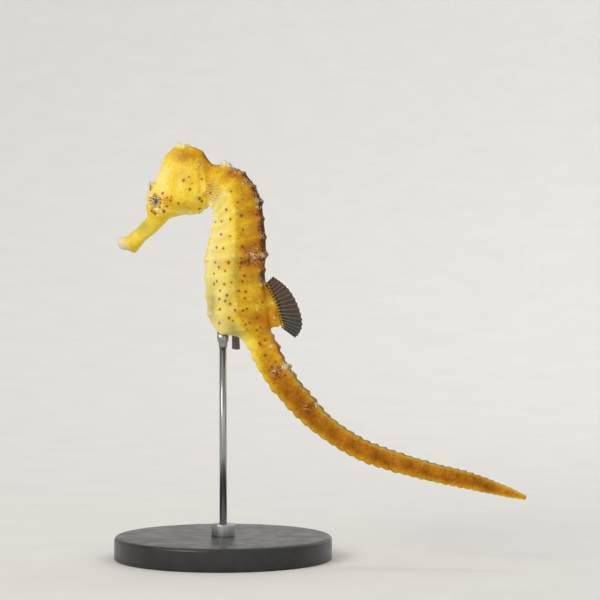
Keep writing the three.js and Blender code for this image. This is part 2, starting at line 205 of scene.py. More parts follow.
def read_points(mesh: Mesh) -> tuple[Array, Array]:
    """Points of a mesh and their outward directions."""
    points = np.empty(len(mesh.vertices) * 3, np.float32)
    mesh.vertices.foreach_get("co", points)
    normals = np.empty(len(mesh.vertices) * 3, np.float32)
    mesh.vertex_normals.foreach_get("vector", normals)
    return points.reshape(-1, 3).astype(float), normals.reshape(-1, 3).astype(float)


def take_mesh(piece: Piece) -> Mesh:
    """Bakes an object's modifiers into a plain mesh, and takes the modifiers off it."""
    solved = piece.evaluated_get(bpy.context.evaluated_depsgraph_get())
    mesh = bpy.data.meshes.new_from_object(solved)
    piece.modifiers.clear()
    old, piece.data = piece.data, mesh
    bpy.data.meshes.remove(old)
    return mesh


# ---------------------------------------------------------------- node trees
class Sheet:
    """Adds nodes to one tree and links them, so that a recipe reads from top to bottom."""

    def __init__(self, tree: Tree) -> None:
        """Takes the tree to write on."""
        self.tree = tree

    def add(self, kind: str, inputs: dict | None = None, **settings: object) -> Node:
        """Adds one node.

        Args:
            kind: the node's type.
            inputs: values or sockets to feed in, by the name or number of the input.
            settings: properties of the node itself.

        Returns:
            The new node.
        """
        node = self.tree.nodes.new(kind)
        for key, value in settings.items():
            setattr(node, key, value)
        for key, value in (inputs or {}).items():
            self.feed(self.pick(node, key), value)
        return node

    @staticmethod
    def pick(node: Node, key: str | int) -> Socket:
        """Finds an input by its identifier, its name or its number."""
        if isinstance(key, int):
            return node.inputs[key]
        return next((s for s in node.inputs if s.identifier == key), None) or node.inputs[key]

    def feed(self, socket: Socket, value: object) -> None:
        """Links a socket to an input, or sets the input's value."""
        if isinstance(value, Socket):
            self.tree.links.new(value, socket)
        else:
            socket.default_value = value

    def math(self, operation: str, a: object, b: object = 0.0) -> Socket:
        """Adds a Math node and returns its result."""
        return self.add("ShaderNodeMath", {0: a, 1: b}, operation=operation).outputs[0]

    def plus(self, a: object, b: object) -> Socket:
        """Adds two values."""
        return self.math("ADD", a, b)

    def times(self, a: object, b: object) -> Socket:
        """Multiplies two values."""
        return self.math("MULTIPLY", a, b)

    def swing(self, value: object, amount: float) -> Socket:
        """Makes a noise that is centred on a half swing about 0, by an amount."""
        return self.times(self.math("SUBTRACT", value, 0.5), amount)

    def noise(self, where: object, scale: object, detail: float, **more: float) -> Socket:
        """Adds a noise and returns its value."""
        inputs = {"Vector": where, "Scale": scale, "Detail": detail, **more}
        return self.add("ShaderNodeTexNoise", inputs).outputs["Fac"]

    def grain(self, where: object, scale: float) -> bpy.types.bpy_prop_collection:
        """Places the shared fine grain and returns its outputs, Height and Mottle."""
        node = self.add("ShaderNodeGroup", node_tree=grain_group())
        self.feed(node.inputs["Coordinates"], where)
        node.inputs["Cell"].default_value = scale
        return node.outputs

    def bump(self, shader: Node, height: object, strength: float, depth: float) -> None:
        """Raises a height on a shader's surface, by a depth in metres."""
        bump = self.add("ShaderNodeBump", {"Strength": strength, "Distance": depth, "Height": height})
        self.feed(shader.inputs["Normal"], bump.outputs["Normal"])

    def ease(
        self, value: object, low: float, high: float, to_low: float = 0.0, to_high: float = 1.0
    ) -> Socket:
        """Maps a value smoothly from one range to another, clamped, and returns the result."""
        ranges = {"Value": value, "From Min": low, "From Max": high, "To Min": to_low, "To Max": to_high}
        return self.add("ShaderNodeMapRange", ranges, interpolation_type="SMOOTHSTEP").outputs["Result"]

    def blend(self, amount: object, under: object, over: object, way: str = "MIX") -> Socket:
        """Lays one colour over another by an amount, and returns the result."""
        mix = self.add("ShaderNodeMix", data_type="RGBA", blend_type=way)
        self.feed(mix.inputs["Factor"], amount)
        self.feed(self.pick(mix, "A_Color"), under)
        self.feed(self.pick(mix, "B_Color"), over)
        return self.pick_output(mix, "Result_Color")

    @staticmethod
    def pick_output(node: Node, key: str) -> Socket:
        """Finds an output by its identifier."""
        return next(s for s in node.outputs if s.identifier == key)

    def mark(self, name: str) -> Socket:
        """Reads a value painted on the points of the mesh."""
        return self.add("ShaderNodeAttribute", attribute_name=name).outputs["Fac"]

    def ramp(self, value: object, stops: list[tuple[float, Colour]]) -> Socket:
        """Adds a colour ramp with the given stops and returns its colour."""
        node = self.add("ShaderNodeValToRGB", {"Fac": value})
        elements = node.color_ramp.elements
        while len(elements) < len(stops):
            elements.new(0.5)
        for element, (place, colour) in zip(elements, stops):
            element.position = place
            element.color = colour
        return node.outputs["Color"]


def grain_group() -> Tree:
    """Builds, once, the fine grain that skin, fins and stand share.

    Returns:
        A shader group with inputs Coordinates, Cell and Soft, and outputs Height and Mottle.
    """
    name = "fine_grain"
    if name in bpy.data.node_groups:
        return bpy.data.node_groups[name]
    group = bpy.data.node_groups.new(name, "ShaderNodeTree")
    face = group.interface
    face.new_socket("Coordinates", in_out="INPUT", socket_type="NodeSocketVector")
    for label, value in (("Cell", 3000.0), ("Soft", 0.5)):
        face.new_socket(label, in_out="INPUT", socket_type="NodeSocketFloat").default_value = value
    for label in ("Height", "Mottle"):
        face.new_socket(label, in_out="OUTPUT", socket_type="NodeSocketFloat")
    sheet = Sheet(group)
    entry = sheet.add("NodeGroupInput").outputs
    where = entry["Coordinates"]
    pores = sheet.add("ShaderNodeTexVoronoi", {"Vector": where, "Scale": entry["Cell"]}, feature="SMOOTH_F1")
    cloud = sheet.noise(where, sheet.times(entry["Cell"], 0.28), 4.0)
    height = sheet.plus(sheet.times(pores.outputs["Distance"], 0.6), sheet.times(cloud, entry["Soft"]))
    sheet.add("NodeGroupOutput", {"Height": height, "Mottle": cloud})
    return group


def new_material(name: str) -> tuple[Material, Sheet, Node]:
    """Starts a material.

    Args:
        name: the material's name.

    Returns:
        The material, a sheet to write its nodes on, and its Principled shader.
    """
    material = bpy.data.materials.new(name)
    material.use_nodes = True
    shader = material.node_tree.nodes["Principled BSDF"]
    return material, Sheet(material.node_tree), shader


def place(sheet: Sheet, stretch: tuple[float, float, float] = (1.0, 1.0, 1.0)) -> Socket:
    """Object coordinates, stretched by a factor along each axis."""
    where = sheet.add("ShaderNodeTexCoord").outputs["Object"]
    return sheet.add("ShaderNodeMapping", {"Vector": where, "Scale": stretch}).outputs["Vector"]


# ---------------------------------------------------------------- finishes
MOTTLE_SPAN = (0.3, 0.7)  # where most of the shared grain's mottle lies


@dataclass(frozen=True)
class SkinFinish:
    """Thin moist skin over bony rings: pale belly, golden flanks, brown back, saddles and spots.

    Scales are noise cells to the metre, and depths are in metres.
    """

    tones: tuple[tuple[float, str], ...] = (
        (0.00, "33240f"), (0.10, "573a0e"), (0.20, "8f5806"), (0.30, "b07606"), (0.40, "c68e0a"),
        (0.50, "d4a618"), (0.60, "e8c22c"), (0.70, "f2d548"), (0.82, "f5e27a"), (1.00, "f3eaa6"),
    )
    warm: str = "c8740a"
    olive: str = "a39a48"
    pepper: str = "c99a4c"
    # painted shade: a darker tint multiplied into the hollow panels between the trunk's rings, the trough
    # across each ring of the tail and the gill groove
    crease: str = "b07a2c"
    saddle: str = "5a2a0c"
    saddle_light: str = "c07a34"
    speck: str = "f4ecd8"
    spot: str = "762c06"
    halo: str = "b4700e"
    # the lips' own pale colour, spread wider and stronger at the lip ends as a painted highlight
    lip: str = "dcd5b2"
    knob: str = "f7edbd"
    pore_scale: float = 4200.0
    cloud_scale: float = 420.0
    cloud_sway: float = 0.36
    freckle_scale: float = 2100.0
    freckle_sway: float = 0.2
    pepper_scale: float = 1500.0
    blotch_scale: float = 1250.0
    fleck_scale: float = 1500.0
    roughness: tuple[float, float] = (0.36, 0.58)
    pore_depth: float = 0.00006
    flesh_depth: float = 0.0006
    flesh_spread: tuple[float, float, float] = (1.0, 0.6, 0.2)

    def build(self) -> Material:
        """Builds the material from the marks painted on the skin."""
        material, sheet, shader = new_material("seahorse_skin")
        where = place(sheet)
        grain = sheet.grain(where, self.pore_scale)
        cloud = sheet.noise(where, self.cloud_scale, 4.0)
        freckle = sheet.noise(where, self.freckle_scale, 2.0)
        tone = sheet.plus(sheet.mark("tone"), sheet.swing(cloud, self.cloud_sway))
        tone = sheet.plus(tone, sheet.swing(freckle, self.freckle_sway))
        colour = sheet.ramp(tone, [(at, paint(code)) for at, code in self.tones])
        for name, code in (("warm", self.warm), ("olive", self.olive)):
            broken = sheet.times(sheet.mark(name), sheet.ease(cloud, 0.3, 0.65, 0.55, 1.0))
            colour = sheet.blend(broken, colour, paint(code))
        pepper = sheet.noise(where, self.pepper_scale, 3.0, Roughness=0.6)
        peppered = sheet.times(sheet.ease(pepper, 0.52, 0.68), sheet.ease(tone, 0.35, 0.8, 0.5, 0.06))
        colour = sheet.blend(peppered, colour, paint(self.pepper), "MULTIPLY")
        colour = self.with_saddles(sheet, colour, where, freckle)
        # painted shade darkens the creases and hollows
        colour = sheet.blend(sheet.mark("crease"), colour, paint(self.crease), "MULTIPLY")
        # the lip tint is partly the lips' pale colour and partly a painted highlight
        for name, code in (("knob", self.knob), ("lip", self.lip)):
            colour = sheet.blend(sheet.mark(name), colour, paint(code))
        edge = sheet.plus(sheet.mark("spot"), sheet.times(freckle, 0.22))
        colour = sheet.blend(sheet.ease(edge, 0.22, 0.62, 0.0, 0.6), colour, paint(self.halo))
        colour = sheet.blend(sheet.ease(edge, 0.6, 0.9, 0.0, 0.86), colour, paint(self.spot))
        sheet.feed(shader.inputs["Base Color"], colour)
        gloss = sheet.ease(grain["Mottle"], *MOTTLE_SPAN, *self.roughness)
        dull_back = sheet.ease(tone, 0.0, 0.3, 0.2, 0.0)
        sheet.feed(shader.inputs["Roughness"], sheet.plus(gloss, dull_back))
        sheet.bump(shader, grain["Height"], 0.35, self.pore_depth)
        shader.inputs["Subsurface Weight"].default_value = 0.1
        shader.inputs["Subsurface Radius"].default_value = self.flesh_spread
        shader.inputs["Subsurface Scale"].default_value = self.flesh_depth
        sheet.feed(shader.inputs["Coat Weight"], sheet.ease(tone, 0.12, 0.4, 0.0, 0.2))
        shader.inputs["Specular IOR Level"].default_value = 0.07
        shader.inputs["Coat Roughness"].default_value = 0.22
        return material

    def with_saddles(self, sheet: Sheet, colour: object, where: object, freckle: object) -> Socket:
        """Lays the blotched brown saddles and the white flecks over a colour.

        Args:
            sheet: the material's sheet.
            colour: the colour underneath.
            where: the coordinates to read the flecks by.
            freckle: fine noise that breaks up the edges.

        Returns:
            The colour with both laid over it.
        """
        cells = sheet.noise(where, self.blotch_scale, 4.0, Roughness=0.65)
        brown = sheet.blend(sheet.ease(cells, 0.42, 0.58), paint(self.saddle), paint(self.saddle_light))
        cover = sheet.plus(sheet.mark("saddle"), sheet.swing(freckle, 0.7))
        colour = sheet.blend(sheet.ease(cover, 0.2, 0.8, 0.0, 0.9), colour, brown)
        flecks = sheet.noise(where, self.fleck_scale, 3.0, Distortion=1.2)
        shown = sheet.plus(sheet.times(sheet.mark("white"), 0.55), flecks)
        return sheet.blend(sheet.ease(shown, 0.95, 1.08, 0.0, 0.9), colour, paint(self.speck))


@dataclass(frozen=True)
class FinFinish:
    """Clear brownish web between fine paler rays."""

    name: str
    web: str = "523c33"
    web_low: str = "363d3a"
    ray_foot: str = "8f805a"
    ray: str = "78695d"
    foot: str = "241a12"
    edge: str = "5d534b"
    mottle: str = "8a7a66"
    opacity: float = 0.72
    ray_opacity: float = 0.95
    scale: float = 2600.0
    roughness: tuple[float, float] = (0.26, 0.42)
    relief: float = 0.00002

    def build(self) -> Material:
        """Builds the material from the fin's marks.

        Out is 0 at the foot and 1 at the edge, ray is 1 on a ray, and share runs along the foot.
        """
        material, sheet, shader = new_material(self.name)
        grain = sheet.grain(place(sheet), self.scale)
        mottle = grain["Mottle"]
        out, ray, share = sheet.mark("out"), sheet.mark("ray"), sheet.mark("share")
        drift = sheet.plus(share, sheet.swing(mottle, 0.5))
        film = sheet.blend(sheet.ease(drift, 0.35, 0.75), paint(self.web), paint(self.web_low))
        film = sheet.blend(sheet.ease(out, 0.02, 0.3, 0.85, 0.0), film, paint(self.foot))
        film = sheet.blend(sheet.ease(out, 0.8, 1.0, 0.0, 0.6), film, paint(self.edge))
        rod = sheet.blend(sheet.ease(out, 0.05, 0.5), paint(self.ray_foot), paint(self.ray))
        tint = sheet.blend(sheet.ease(ray, 0.15, 0.7, 0.0, 0.95), film, rod)
        tint = sheet.blend(sheet.ease(mottle, 0.4, 0.7, 0.0, 0.25), tint, paint(self.mottle), "MULTIPLY")
        sheet.feed(shader.inputs["Base Color"], tint)
        sheet.feed(shader.inputs["Alpha"], sheet.ease(ray, 0.2, 0.9, self.opacity, self.ray_opacity))
        sheet.feed(shader.inputs["Roughness"], sheet.ease(mottle, *MOTTLE_SPAN, *self.roughness))
        sheet.bump(shader, grain["Height"], 0.15, self.relief)
        shader.inputs["Specular IOR Level"].default_value = 0.15
        return material


@dataclass(frozen=True)
class PlainFinish:
    """One colour with a fine grain in its tint, its gloss and its relief."""

    name: str
    light: str
    dark: str
    scale: float
    roughness: tuple[float, float]
    metallic: float = 0.0
    stretch: tuple[float, float, float] = (1.0, 1.0, 1.0)
    relief: float = 0.00003
    coat: float = 0.0

    def build(self) -> Material:
        """Builds the material."""
        material, sheet, shader = new_material(self.name)
        grain = sheet.grain(place(sheet, self.stretch), self.scale)
        shade = sheet.ease(grain["Mottle"], *MOTTLE_SPAN)
        tint = sheet.ramp(shade, [(0.0, paint(self.dark)), (1.0, paint(self.light))])
        sheet.feed(shader.inputs["Base Color"], tint)
        sheet.feed(shader.inputs["Roughness"], sheet.ease(grain["Mottle"], *MOTTLE_SPAN, *self.roughness))
        sheet.bump(shader, grain["Height"], 0.3, self.relief)
        shader.inputs["Metallic"].default_value = self.metallic
        shader.inputs["Coat Weight"].default_value = self.coat
        shader.inputs["Coat Roughness"].default_value = 0.15
        return material


@dataclass(frozen=True)
class EyeFinish:
    """A dark pupil in a spoked iris that fades raggedly into the skin, under a wet surface."""

    pupil: str = "1c1004"
    dark: str = "46290a"
    olive: str = "9a842c"
    pale: str = "f1ead6"
    skin: str = "f0cb4a"
    broad_scale: float = 2.4
    fine_scale: float = 7.0
    broad_share: float = 0.55
    flake_scale: float = 2600.0
    roughness: tuple[float, float] = (0.2, 0.34)
    relief: float = 0.00002

    def build(self) -> Material:
        """Builds the material from the eye's marks.

        Reach grows from the pupil, rim from the ball's centre, and spoke turns round the pupil.
        """
        material, sheet, shader = new_material("seahorse_eye")
        reach = sheet.mark("reach")
        spoke = sheet.add("ShaderNodeAttribute", attribute_name="spoke").outputs["Vector"]
        broad = sheet.noise(spoke, self.broad_scale, 2.0, Roughness=0.6)
        fine = sheet.noise(spoke, self.fine_scale, 2.0)
        streak = sheet.plus(sheet.times(broad, self.broad_share), sheet.times(fine, 1 - self.broad_share))
        pupil, dark, olive, pale = (paint(code) for code in (self.pupil, self.dark, self.olive, self.pale))
        iris = sheet.ramp(streak, [
            (0.36, pupil), (0.43, dark), (0.465, olive), (0.49, dark), (0.53, pale),
            (0.56, pale), (0.585, dark), (0.63, olive), (0.68, pale),
        ])
        flake = sheet.noise(place(sheet), self.flake_scale, 2.0)
        iris = sheet.blend(sheet.ease(flake, 0.5, 0.66, 0.0, 0.6), iris, olive)
        ragged = sheet.plus(reach, sheet.swing(fine, 1.5))
        colour = sheet.blend(sheet.ease(ragged, 0.14, 0.42), pupil, iris)
        sway = sheet.plus(sheet.swing(fine, 2.0), sheet.swing(flake, 1.2))
        edge = sheet.plus(sheet.mark("rim"), sway)
        colour = sheet.blend(sheet.ease(edge, 0.56, 0.84, 0.0, 0.95), colour, paint(self.skin))
        sheet.feed(shader.inputs["Base Color"], colour)
        sheet.feed(shader.inputs["Roughness"], sheet.ease(broad, *MOTTLE_SPAN, *self.roughness))
        sheet.bump(shader, fine, 0.1, self.relief)
        shader.inputs["Specular IOR Level"].default_value = 0.1
        shader.inputs["Coat Weight"].default_value = 0.14
        shader.inputs["Coat Roughness"].default_value = 0.04
        return material


# ---------------------------------------------------------------- the body's form
class Profile(Enum):
    """Half sections of the body, as height and side at seven places from the back down to the keel."""

    ROUND = ((1, 0), (0.87, 0.5), (0.5, 0.87), (0, 1), (-0.5, 0.87), (-0.87, 0.5), (-1, 0))
    ORBIT = ((1, 0), (0.93, 0.5), (0.62, 0.92), (0.15, 1), (-0.4, 0.86), (-0.82, 0.5), (-1, 0))
    CHEEK = ((1, 0), (0.95, 0.26), (0.45, 0.6), (-0.08, 0.92), (-0.5, 1), (-0.88, 0.62), (-1, 0))
    NAPE = ((1, 0), (0.95, 0.3), (0.56, 0.68), (0.12, 0.97), (-0.42, 0.95), (-0.88, 0.55), (-1, 0))
    TRUNK = ((0.95, 0), (1, 0.5), (0.62, 0.84), (0.2, 1), (-0.34, 0.82), (-0.82, 0.42), (-1, 0))
    HIP = ((1, 0), (0.97, 0.5), (0.58, 0.86), (0.12, 1), (-0.42, 0.86), (-0.86, 0.5), (-1, 0))
    TAIL = ((0.92, 0), (1, 0.7), (0.5, 0.94), (0, 1), (-0.5, 0.95), (-1, 0.72), (-0.92, 0))


class Smooth:
    """A smooth curve through rows of numbers, the first of each being its place along the curve."""

    def __init__(self, keys: list | tuple) -> None:
        """Takes the rows, in order of their places."""
        self.keys = np.array(keys, float)
        before = self.keys[np.maximum(np.arange(len(keys)) - 1, 0)]
        after = self.keys[np.minimum(np.arange(len(keys)) + 1, len(keys) - 1)]
        self.slope = (after - before) / (after[:, :1] - before[:, :1])

    def __call__(self, at: Array | float) -> Array:
        """Reads the curve.

        Args:
            at: one place or many.

        Returns:
            A row of values for each place.
        """
        at = np.atleast_1d(np.asarray(at, float))
        i = np.clip(np.searchsorted(self.keys[:, 0], at, side="right") - 1, 0, len(self.keys) - 2)
        low, high = self.keys[i], self.keys[i + 1]
        span = (high[:, 0] - low[:, 0])[:, None]
        t = (at[:, None] - low[:, :1]) / span
        value = (2 * t**3 - 3 * t**2 + 1) * low + (t**3 - 2 * t**2 + t) * span * self.slope[i]
        value += (3 * t**2 - 2 * t**3) * high + (t**3 - t**2) * span * self.slope[i + 1]
        return value[:, 1:]


def loop_weights(place: Array, count: int = LOOP) -> Array:
    """Shares of the places of a closed smooth loop in each point on it.

    Args:
        place: where each point lies, counted in places of the loop.
        count: number of places.

    Returns:
        One row for each point and one column for each place.
    """
    start = np.floor(place).astype(int)
    t = place - start
    parts = (
        -0.5 * t + t**2 - 0.5 * t**3,
        1 - 2.5 * t**2 + 1.5 * t**3,
        0.5 * t + 2 * t**2 - 1.5 * t**3,
        0.5 * (t**3 - t**2),
    )
    weights = np.zeros((len(place), count))
    for step, part in zip((-1, 0, 1, 2), parts):
        weights[np.arange(len(place)), (start + step) % count] += part
    return weights


@dataclass
class Form:
    """The smooth shape of the animal without its relief, from the lips at -12 to the tail's tip at 48.

    A place along it counts rings: 1 to 11 on the trunk and 12 to 48 on the tail. Round it, a girth of
    0 is the middle of the back, 3 the left lateral ridge, 6 the keel and 9 the right lateral ridge.
    """

    first: float = -12.0
    trunk_rings: int = 11
    tail_rings: int = 36
    tail_pitch: tuple[float, float] = (2.7, 1.24)
    tail_width_share: float = 0.5
    tail_steps: int = 80
    sections: tuple = (
        (-12, -23.9, 70.1, -23.9, 69.2, 0.8, Profile.ROUND),
        (-11.5, -23.4, 70.7, -22.9, 68.2, 1.35, Profile.ROUND),
        (-11, -22.3, 70.9, -21.4, 67.8, 1.55, Profile.ROUND),
        (-10.5, -21.5, 71.3, -20.1, 67.3, 1.6, Profile.ROUND),
        (-10, -20.7, 72.0, -19.1, 68.3, 1.5, Profile.ROUND),
        (-9, -19.3, 73.1, -17.4, 70.2, 1.4, Profile.ROUND),
        (-8, -18.1, 74.3, -15.4, 71.7, 1.5, Profile.ROUND),
        (-7, -17.2, 75.5, -13.5, 73.6, 1.95, Profile.ROUND),
        (-6, -17.2, 77.1, -11.9, 75.0, 2.7, Profile.ORBIT),
        (-5, -17.0, 79.5, -10.3, 75.4, 3.1, Profile.ORBIT),
        (-4, -16.1, 82.2, -8.8, 75.7, 3.3, Profile.ORBIT),
        (-3, -14.3, 85.2, -7.4, 75.8, 3.7, Profile.CHEEK),
        (-2, -12.9, 88.7, -6.3, 75.9, 3.9, Profile.CHEEK),
        (-1.5, -11.0, 90.2, -5.6, 76.1, 3.95, Profile.CHEEK),
        (-1, -8.2, 90.5, -4.8, 76.6, 3.85, Profile.CHEEK),
        (-0.5, -5.0, 89.8, -3.8, 77.2, 3.6, Profile.CHEEK),
        (0, -3.7, 88.1, -3.0, 77.6, 3.5, Profile.NAPE),
        (0.5, -2.1, 86.6, -2.5, 77.4, 3.6, Profile.NAPE),
        (1, 0.8, 86.7, -2.2, 77.2, 3.8, Profile.NAPE),
        (2, 4.3, 84.7, -1.9, 76.1, 4.2, Profile.TRUNK),
        (3, 6.6, 81.9, -2.1, 74.3, 4.5, Profile.TRUNK),
        (4, 8.0, 78.6, -2.5, 72.5, 4.6, Profile.TRUNK),
        (5, 8.5, 74.8, -3.1, 70.3, 4.7, Profile.TRUNK),
        (6, 8.9, 70.8, -3.6, 68.1, 4.9, Profile.TRUNK),
        (7, 9.0, 67.0, -4.0, 65.9, 5.1, Profile.TRUNK),
        (8, 8.7, 63.6, -4.0, 61.9, 5.1, Profile.TRUNK),
        (9, 9.2, 60.4, -3.8, 57.8, 5.1, Profile.TRUNK),
        (10, 10.0, 56.0, -3.3, 53.9, 4.8, Profile.HIP),
        (10.5, 10.3, 53.6, -2.5, 51.6, 4.35, Profile.HIP),
        (11, 10.4, 51.5, -0.7, 49.6, 3.85, Profile.HIP),
        (11.5, 10.6, 49.9, 3.3, 49.0, 3.25, Profile.HIP),
    )
    tail_line: tuple = (
        (8.4, 48.2), (10.7, 43.6), (13.6, 39.2), (18.0, 34.2), (22.7, 29.7), (30.9, 24.7),
        (38.5, 22.1), (46.5, 20.0), (54.5, 18.3), (62.3, 16.2), (67.0, 14.8),
    )
    tail_depth: tuple = (
        (0, 5.4), (0.15, 5.0), (0.25, 4.7), (0.35, 4.1), (0.6, 3.7), (0.82, 3.1), (0.93, 2.1), (1, 1.0),
    )

    def __post_init__(self) -> None:
        """Puts the tail's rings after the sections of the head and the trunk."""
        rows = [(at, *flat, *np.ravel(shape.value)) for at, *flat, shape in self.sections]
        self.shape = Smooth(rows + self.tail_sections())

    @property
    def last(self) -> float:
        """Place of the tail's tip."""
        return float(self.trunk_rings + 1 + self.tail_rings)

    def tail_sections(self) -> list[tuple]:
        """One section for each ring of the tail, square to its centreline."""
        points = np.array(self.tail_line)
        points = np.vstack([2 * points[0] - points[1], points, 2 * points[-1] - points[-2]])
        line = []
        for a, b, c, d in zip(points, points[1:], points[2:], points[3:]):
            before, span, after = (math.sqrt(np.linalg.norm(q - p)) for p, q in ((a, b), (b, c), (c, d)))
            into = ((b - a) / before - (c - a) / (before + span) + (c - b) / span) * span
            out = ((c - b) / span - (d - b) / (span + after) + (d - c) / after) * span
            t = np.linspace(0, 1, self.tail_steps, endpoint=False)[:, None]
            bend, twist = 3 * (c - b) - 2 * into - out, 2 * (b - c) + into + out
            line.append(b + into * t + bend * t**2 + twist * t**3)
        line = np.vstack([*line, points[-2]])
        run = np.concatenate([[0], np.cumsum(np.linalg.norm(np.diff(line, axis=0), axis=1))])
        base, tip = self.tail_pitch
        ring = np.arange(self.tail_rings + 1)
        share = base * ring - (base - tip) / (2 * self.tail_rings) * ring**2
        share = share / share[-1]
        stops, slopes = share * run[-1], np.gradient(line, run, axis=0)
        centre = np.stack([np.interp(stops, run, line[:, n]) for n in (0, 1)], axis=1)
        ahead = np.stack([np.interp(stops, run, slopes[:, n]) for n in (0, 1)], axis=1)
        ahead /= np.linalg.norm(ahead, axis=1)[:, None]
        depth = Smooth(self.tail_depth)(share)
        up = np.stack([-ahead[:, 1], ahead[:, 0]], axis=1) * depth / 2
        profile = tuple(np.ravel(Profile.TAIL.value))
        first = self.trunk_rings + 1
        return [
            (first + n, *(c + u), *(c - u), d * self.tail_width_share, *profile)
            for n, c, u, d in zip(ring, centre, up, depth[:, 0])
        ]

    def rings(self, at: Array, girth: Array) -> Array:
        """Points on the form.

        Args:
            at: places along the body.
            girth: places round it.

        Returns:
            Points by place along, place round, and x, y, z.
        """
        rows = self.shape(at)
        back, belly, half = rows[:, 0:2], rows[:, 2:4], rows[:, 4]
        left = rows[:, 5:].reshape(-1, 7, 2)
        right = left[:, 5:0:-1] * (1, -1)
        loop = np.concatenate([left, right], axis=1)
        centre, up = (back + belly) / 2, (back - belly) / 2
        x = up[:, 0, None] * loop[:, :, 0] + centre[:, 0, None]
        z = up[:, 1, None] * loop[:, :, 0] + centre[:, 1, None]
        y = -half[:, None] * loop[:, :, 1]
        return np.einsum("gp,apk->agk", loop_weights(girth), np.stack([x, y, z], axis=2))

    def point(self, at: float, girth: float) -> Array:
        """One point on the form."""
        return self.rings(np.array([at]), np.array([girth]))[0, 0]

    def depth(self, at: Array) -> Array:
        """Height of the section from keel to back at each place."""
        rows = self.shape(at)
        return np.linalg.norm(rows[:, 0:2] - rows[:, 2:4], axis=1)


@dataclass(frozen=True)
class Chart:
    """A flat side view of the left flank, seen from a little towards the tail and ruled in equal steps."""

    turn: float = math.radians(12.0)
    step: float = 0.22
    axis_column: float = 223.0
    ground_row: float = 559.0

    def read(self, points: Array) -> tuple[Array, Array]:
        """Columns and rows of points; the right flank is read as the left one's mirror image."""
        across = points[:, 0] * math.cos(self.turn) - np.abs(points[:, 1]) * math.sin(self.turn)
        return self.axis_column + across / self.step, self.ground_row - points[:, 2] / self.step


# ---------------------------------------------------------------- markings
SPOTS = (  # column, row and radius in steps of the reddish spots
    (184, 181, 1.6), (189, 177, 1.0), (193, 184, 0.8), (191, 190, 1.4), (202, 179, 1.2), (200, 199, 1.7),
    (202, 201, 1.4), (211, 193, 1.3), (210, 186, 1.1), (163, 193, 1.3), (167, 198, 0.9), (171, 201, 1.3),
    (179, 203, 1.2), (172, 197, 1.0), (167, 206, 1.3), (150, 189, 1.4), (152, 211, 1.3), (155, 214, 1.3),
    (164, 211, 1.5), (200, 209, 1.5), (232, 192, 1.1), (238, 203, 1.3), (244, 200, 0.8), (227, 210, 1.4),
    (242, 216, 1.9), (257, 215, 1.8), (231, 219, 1.3), (222, 221, 1.2), (216, 222, 0.9), (244, 230, 1.2),
    (259, 230, 1.4), (222, 234, 1.3), (231, 236, 1.0), (217, 247, 1.3), (224, 248, 1.2), (243, 246, 1.7),
    (245, 248, 1.5), (215.5, 262, 1.2), (229, 262, 1.8), (242, 258, 1.4), (246, 262, 1.8), (219, 267, 1.3),
    (241, 267, 1.3), (226, 271, 1.2), (214.5, 273, 1.1), (245, 275, 1.5), (217, 281, 1.2),
    (214.5, 284, 1.2), (225, 284, 1.4), (232, 282, 1.2), (243, 281, 1.4), (220.5, 290, 1.2),
    (240, 290, 1.2), (246, 291, 1.5), (227.5, 294.5, 1.5), (219.5, 299, 1.4), (226, 300.5, 1.3),
    (231, 303, 1.5), (245.5, 298, 1.3), (262.5, 301, 1.4), (220.5, 308.5, 1.4), (236.5, 309, 1.4),
    (243.5, 309.5, 1.4), (247, 307.5, 1.4), (229, 317.5, 1.5), (233, 320, 1.2), (219.5, 322.5, 1.2),
    (257.5, 317.5, 1.5), (250, 321.5, 1.3), (246, 323.5, 1.2), (261, 327, 1.2), (257.5, 329, 1.2),
    (265.5, 339, 1.3), (260, 342, 1.3), (261.5, 344, 1.2), (265.5, 354.5, 1.6), (275.7, 361.4, 1.4),
    (276.2, 377.7, 1.5), (284.9, 374.5, 1.6), (272.4, 365.2, 1.5), (279.5, 376, 1.6), (269.7, 369, 1.2),
    (274, 382, 1.0), (297, 407, 1.2), (306, 416, 1.4), (313, 408, 1.0),
)
KNOBS = (  # column, row, radius in steps and height in millimetres of the pale knobs
    (169.5, 171.5, 2.2, 0.35), (163.5, 161, 2.0, 0.22), (199, 165, 2.0, 0.3), (198, 160, 1.6, 0.2),
    (199, 195, 2.0, 0.25), (184, 147, 2.0, 0.3), (178, 145, 2.2, 0.3), (257, 207, 2.4, 0.3),
    (261, 256, 2.6, 0.3), (235, 255, 2.0, 0.3), (233.5, 272, 1.8, 0.2), (234.5, 287, 1.8, 0.2),
    (237, 303, 1.8, 0.2), (258, 309, 1.9, 0.2), (271, 345, 2.2, 0.25), (273, 303, 2.0, 0.2),
    (275, 317, 2.0, 0.2), (285, 367, 3.0, 0.4), (319, 402, 2.8, 0.4), (290, 363, 2.6, 0.35),
    (227, 164, 4.0, 0.7), (223.5, 165, 2.0, 0.35), (231, 165, 2.4, 0.4), (238, 170, 2.0, 0.3),
    (243, 173.5, 2.0, 0.3), (248, 179, 2.0, 0.3), (253, 185, 1.9, 0.3), (258, 193, 1.9, 0.3),
    (158, 211, 1.5, 0.15), (161, 209, 1.5, 0.15), (191.5, 213, 2.4, 0.45), (197.5, 212, 2.0, 0.4),
    (178, 211, 1.8, 0.25), (185.5, 213, 1.5, 0.25), (203, 208, 1.6, 0.35), (243, 184, 2.0, 0.25),
    (214, 325, 1.8, 0.2), (221, 334, 1.8, 0.2), (151.5, 184, 1.8, 0.35), (156, 183, 1.6, 0.25),
    (149, 190, 1.6, 0.25), (148, 197, 1.5, 0.2), (147.5, 205, 1.6, 0.2), (262, 191, 1.8, 0.25),
    (264, 232, 1.6, 0.2),
)


